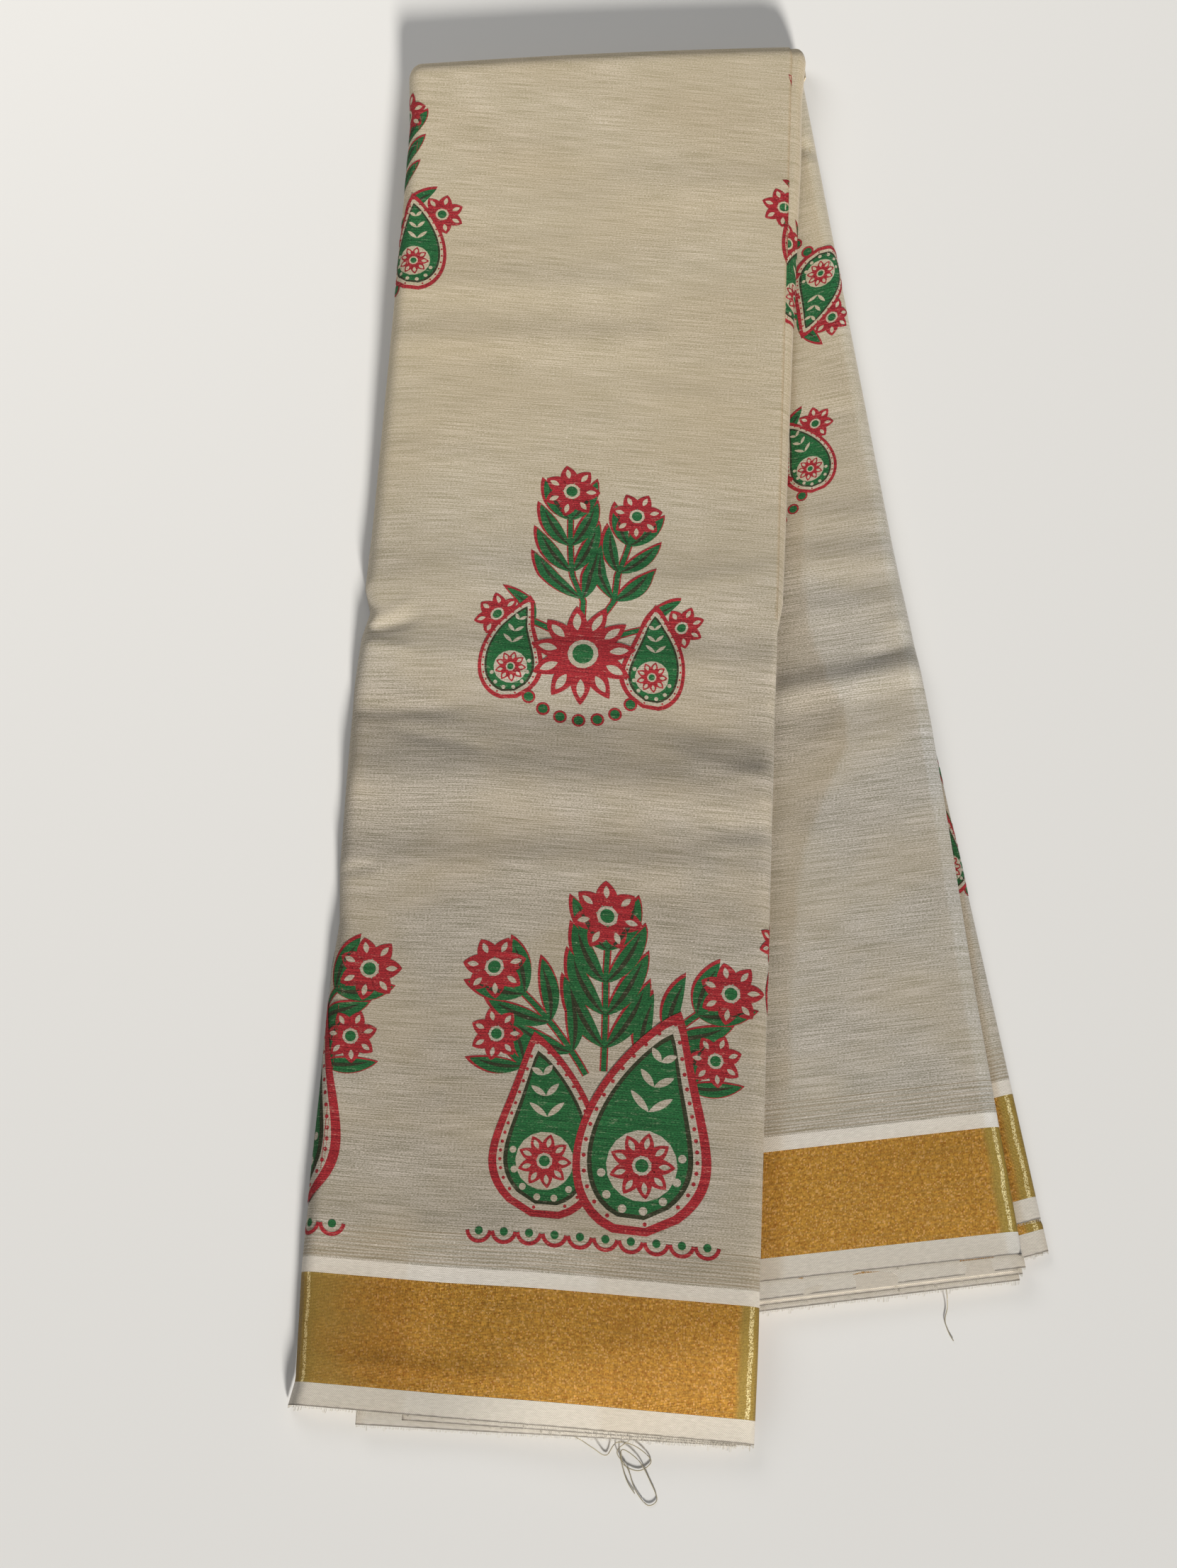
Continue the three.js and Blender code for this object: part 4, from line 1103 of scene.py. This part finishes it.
def ended(inset):
    """A leaf end that hardly turns down, standing in from the edge."""
    return [(at, -inset, 0.8, 0.4) for at in (0, 700)]


def dress(node, leaf, slot, spacing, high, tone_at, seed, motifs=(), threads=()):
    """A node's leaf with its prints, loops and loose threads."""
    piece = add_leaf(node, leaf, slot, spacing, high, tone_at)
    extras = add_prints(node.removesuffix("_leaf"), leaf, motifs, tone_at)
    extras.append(add_loops(node, leaf, seed))
    extras += [add_loose_thread(*thread) for thread in threads]


def front_half():
    leaf = Leaf(FRONT, (FIRST_LEFT, FIRST_RIGHT), FRONT_TOP, lie_front, wide_shaded_edge=True)
    dress("front_leaf", leaf, "kora_cotton", 2.0, leaf.height + TURN + FIRST_RUN, front_tone, 11,
          FRONT_PRINTS)
    leaf = Leaf(FRONT, (SECOND_LEFT, SECOND_RIGHT), FRONT_TOP - STEP, lie_front, reach=(2.6, 0.4))
    dress("front_second_leaf", leaf, "kora_cotton", 3.0, leaf.height + TURN + SECOND_RUN, fold_edge_shade, 12,
          SECOND_PRINTS, [("front_loose_thread", LOOP, STRAND)])
    leaf = Leaf(FRONT, (ended(26), ended(6.6)), FRONT_TOP - 2 * STEP, lie_front, reach=(5.7, 0.8))
    dress("front_third_selvedge", leaf, "white_selvedge", 3.0, 36.0, fold_edge_shade, 13)


def back_half():
    leaf = Leaf(BACK, (ended(0), BACK_RIGHT), HALF, lie_back)
    dress("back_leaf", leaf, "kora_cotton", 2.0, leaf.height, back_tone, 21,
          BACK_PRINTS)
    selvedges = (("second", (6.9, 5.1), 0.0, ()), ("third", (8.9, 7.3), 1.4, ()),
                 ("fourth", (10.9, 9.4), 2.7, [("back_loose_thread", LOOSE_END)]))
    for layer, (order, reach, inset, threads) in enumerate(selvedges, 1):
        right = [(0, -5, 1, 0.4), (526.5, -5, 1, 0.4), (528.5, -inset, 1, 0.4), (560, -inset, 1, 0.4)]
        leaf = Leaf(BACK, (ended(0), right), HALF - layer * STEP, lie_back, reach=reach)
        dress(f"back_{order}_selvedge", leaf, "white_selvedge", 2.5, 24.0, fold_edge_shade, 21 + layer,
              threads=threads)


def offset_leaves():
    edge = [(0, -0.4, 5, 3.4), (14, 0, 5, 3.4), (300, 0, 5, 3.4)]
    leaf = Leaf(OFFSET, (ended(0), edge), OFFSET_TOP, lie_flat, reach=(2.6, 0.0), inset=(26.0, 0.0))
    dress("offset_leaf", leaf, "kora_cotton", 1.6, 195.0, offset_tone, 31,
          OFFSET_PRINTS)
    edge = [(0, -1.4, 3.7, 2.2), (197.5, -1.4, 3.7, 2.2), (199.5, 0.1, 3.7, 2.2), (300, 0.1, 3.7, 2.2)]
    leaf = Leaf(OFFSET, (ended(0), edge), OFFSET_TOP - STEP, lie_flat, reach=(15.0, 12.4),
                inset=(24.0, 0.0))
    dress("offset_second_leaf", leaf, "gold_zari", 1.6, 46.0, fold_edge_shade, 32)


def under_side():
    right = [(0, -1.2, 0.5, 0.2), (312, -1.2, 0.5, 0.2), (527.7, 9.0, 0.5, 0.2), (560, 10.5, 0.5, 0.2)]
    leaf = Leaf(("back_left", "back_right"), (ended(7), right), CLOTH, lie_under)
    dress("under_leaf", leaf, "kora_cotton", 6.0, leaf.height - 13.5, fold_edge_shade, 41)


# ---- Hidden leaves: doubled leaves whose folds and ends show at the sides ----

FOLD_THICK = 0.96
FOLD_PITCH = 1.08
FOLD_SPACING = 7.0  # from one cut along a fold to the next
FRONT_FOLDS = 6
BACK_FOLDS = 7
SAGGING_FOLDS = 8
BACK_OFFSET_END = 14  # the lower bundle stands out only above this distance from the lowest selvedge


def add_hidden(name, folds):
    """Hidden leaves as one piece, each with the arguments of add_fold."""
    cloth = Cloth()
    for fold in folds:
        add_fold(cloth, *fold)
    piece = cloth.piece(name, CLOTH_MATERIALS, "kora_cotton", sharp=60.0)
    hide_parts("hidden_layers")


def front_hidden():
    leaf = Leaf(FRONT, (ended(0), ended(0)), 0, lie_front)

    def right(row, k):
        down = row.share * leaf.right_length
        second = -table_values(SECOND_RIGHT, down)[0] + 1.7 + 0.35 * k
        below = 0.9 if k < 4 else 3.4
        return second + (below - second) * smooth((down - 265) / 45)

    folds = [
        (leaf, 4.6 - 0.5 * k + 1.2 * (k % 2), leaf.height + TURN + HIDDEN_RUN, 0.05 + k * FOLD_PITCH,
         FOLD_THICK, lambda row, k: 2.6 + 0.5 * k, right, k, k)
        for k in range(FRONT_FOLDS)
    ]
    add_hidden("front_hidden_leaves", folds)


def back_hidden():
    leaf = Leaf(("back_left", "back_right"), (ended(0), ended(0)), 0, lie_back, reach=(9.5, 8.5))

    def right(row, k):
        down = row.share * leaf.right_length
        if k > 2:
            return 2.4 + 1.3 * smooth((down - 285) / 30) + 0.4 * (k - 3)
        offset = 10.2 * max(0.0, down - 312) / 202 if row.r > BACK_OFFSET_END else 0.0
        return 2.4 - offset + 0.2 * k

    folds = [
        (leaf, 0.4 + 1.1 * ((k * 3) % 4), leaf.height - 0.5, 0.55 + k * FOLD_PITCH,
         FOLD_THICK, lambda row, k: 1.0 + 0.3 * (k % 3), right, k, 20 + k)
        for k in range(BACK_FOLDS)
    ]
    add_hidden("back_hidden_leaves", folds)


def lie_sagging(row, across, level):
    """Level runs from nought on the surface to one at the front half's base."""
    point = row.left.lerp(row.right, across / row.width)
    return Vector((point.x, point.y, front_base(point) * level))


def sagging_hidden():
    """The lowest leaves of the front half, sunk beside the back half."""
    leaf = Leaf(FRONT, (ended(0), ended(0)), 0, lie_sagging)

    def to_back_half(row, k):
        down = row.share * leaf.left_length
        back = edge_point("back_left", down / EDGES["back_left"][1])
        return row.width - (back - row.left).length + 1.2

    folds = []
    for k in range(SAGGING_FOLDS):
        level = (k / SAGGING_FOLDS, (k + 0.9) / SAGGING_FOLDS - k / SAGGING_FOLDS)
        folds.append((leaf, 350.0, 520.0 + 4 * k, *level, lambda row, k: 4.0 + 0.3 * (k % 3),
                      to_back_half, k, 40 + k))
        folds.append((leaf, 5.0, 47.0, *level, lambda row, k: 70.0,
                      lambda row, k: 2.5 + 0.4 * (k % 3), k, 60 + k))
    add_hidden("sagging_hidden_leaves", folds)


# ---- Loose threads ----

LOOSE_RADIUS = 0.2

# A pulled weft thread hangs out of the front half's selvedge in a tangled loop, with a strand beside it.
LOOP = [
    (-38, -299, 6.0), (-34, -301, 4.4), (-30, -303.5, 3.0), (-25, -306, 0.3), (-21, -301.5, 1.4),
    (-14, -303, 0.7), (-8.5, -308, 0.2), (-13, -311.5, 0.2), (-19, -309, 0.5), (-19, -304, 0.9),
    (-13, -308, 0.6), (-9, -315, 0.3), (-6.5, -321.5, 0.2), (-10, -323.5, 0.2), (-14.5, -318, 0.3),
    (-17, -311, 0.5), (-21, -305, 0.9), (-17, -301.2, 2.2), (-13, -299, 6.0),
]
STRAND = [(-19.6, -305, 0.9), (-18.9, -310.5, 0.5), (-17.2, -315.5, 0.3), (-14.6, -319.5, 0.3)]
# A short thread end at the back half's selvedge
LOOSE_END = [
    (102.5, -246, 5.5), (102.8, -249.5, 4.4), (103.2, -253, 0.7), (102.2, -257.5, 0.2),
    (103.4, -262, 0.2), (105.0, -265, 0.25),
]


def smooth_path(points, steps=8):
    """A Catmull-Rom curve through points."""
    points = [Vector(point) for point in points]
    path = []
    padded = [points[0], *points, points[-1]]
    for a, b, c, d in zip(padded, padded[1:], padded[2:], padded[3:]):
        for k in range(steps):
            t = k / steps
            path.append(0.5 * (2 * b + (c - a) * t + (2 * a - 5 * b + 4 * c - d) * t * t
                               + (3 * b - a - 3 * c + d) * t**3))
    return [*path, points[-1]]


def add_loose_thread(name, *runs):
    cloth = Cloth()
    for points in runs:
        add_tube(cloth, smooth_path(points), LOOSE_RADIUS)
    return cloth.piece(name, [LOOSE_THREAD], "white_selvedge", sharp=80.0)


add_camera()
add_lights()
add_floor()
front_half()
back_half()
offset_leaves()
under_side()
front_hidden()
back_hidden()
sagging_hidden()
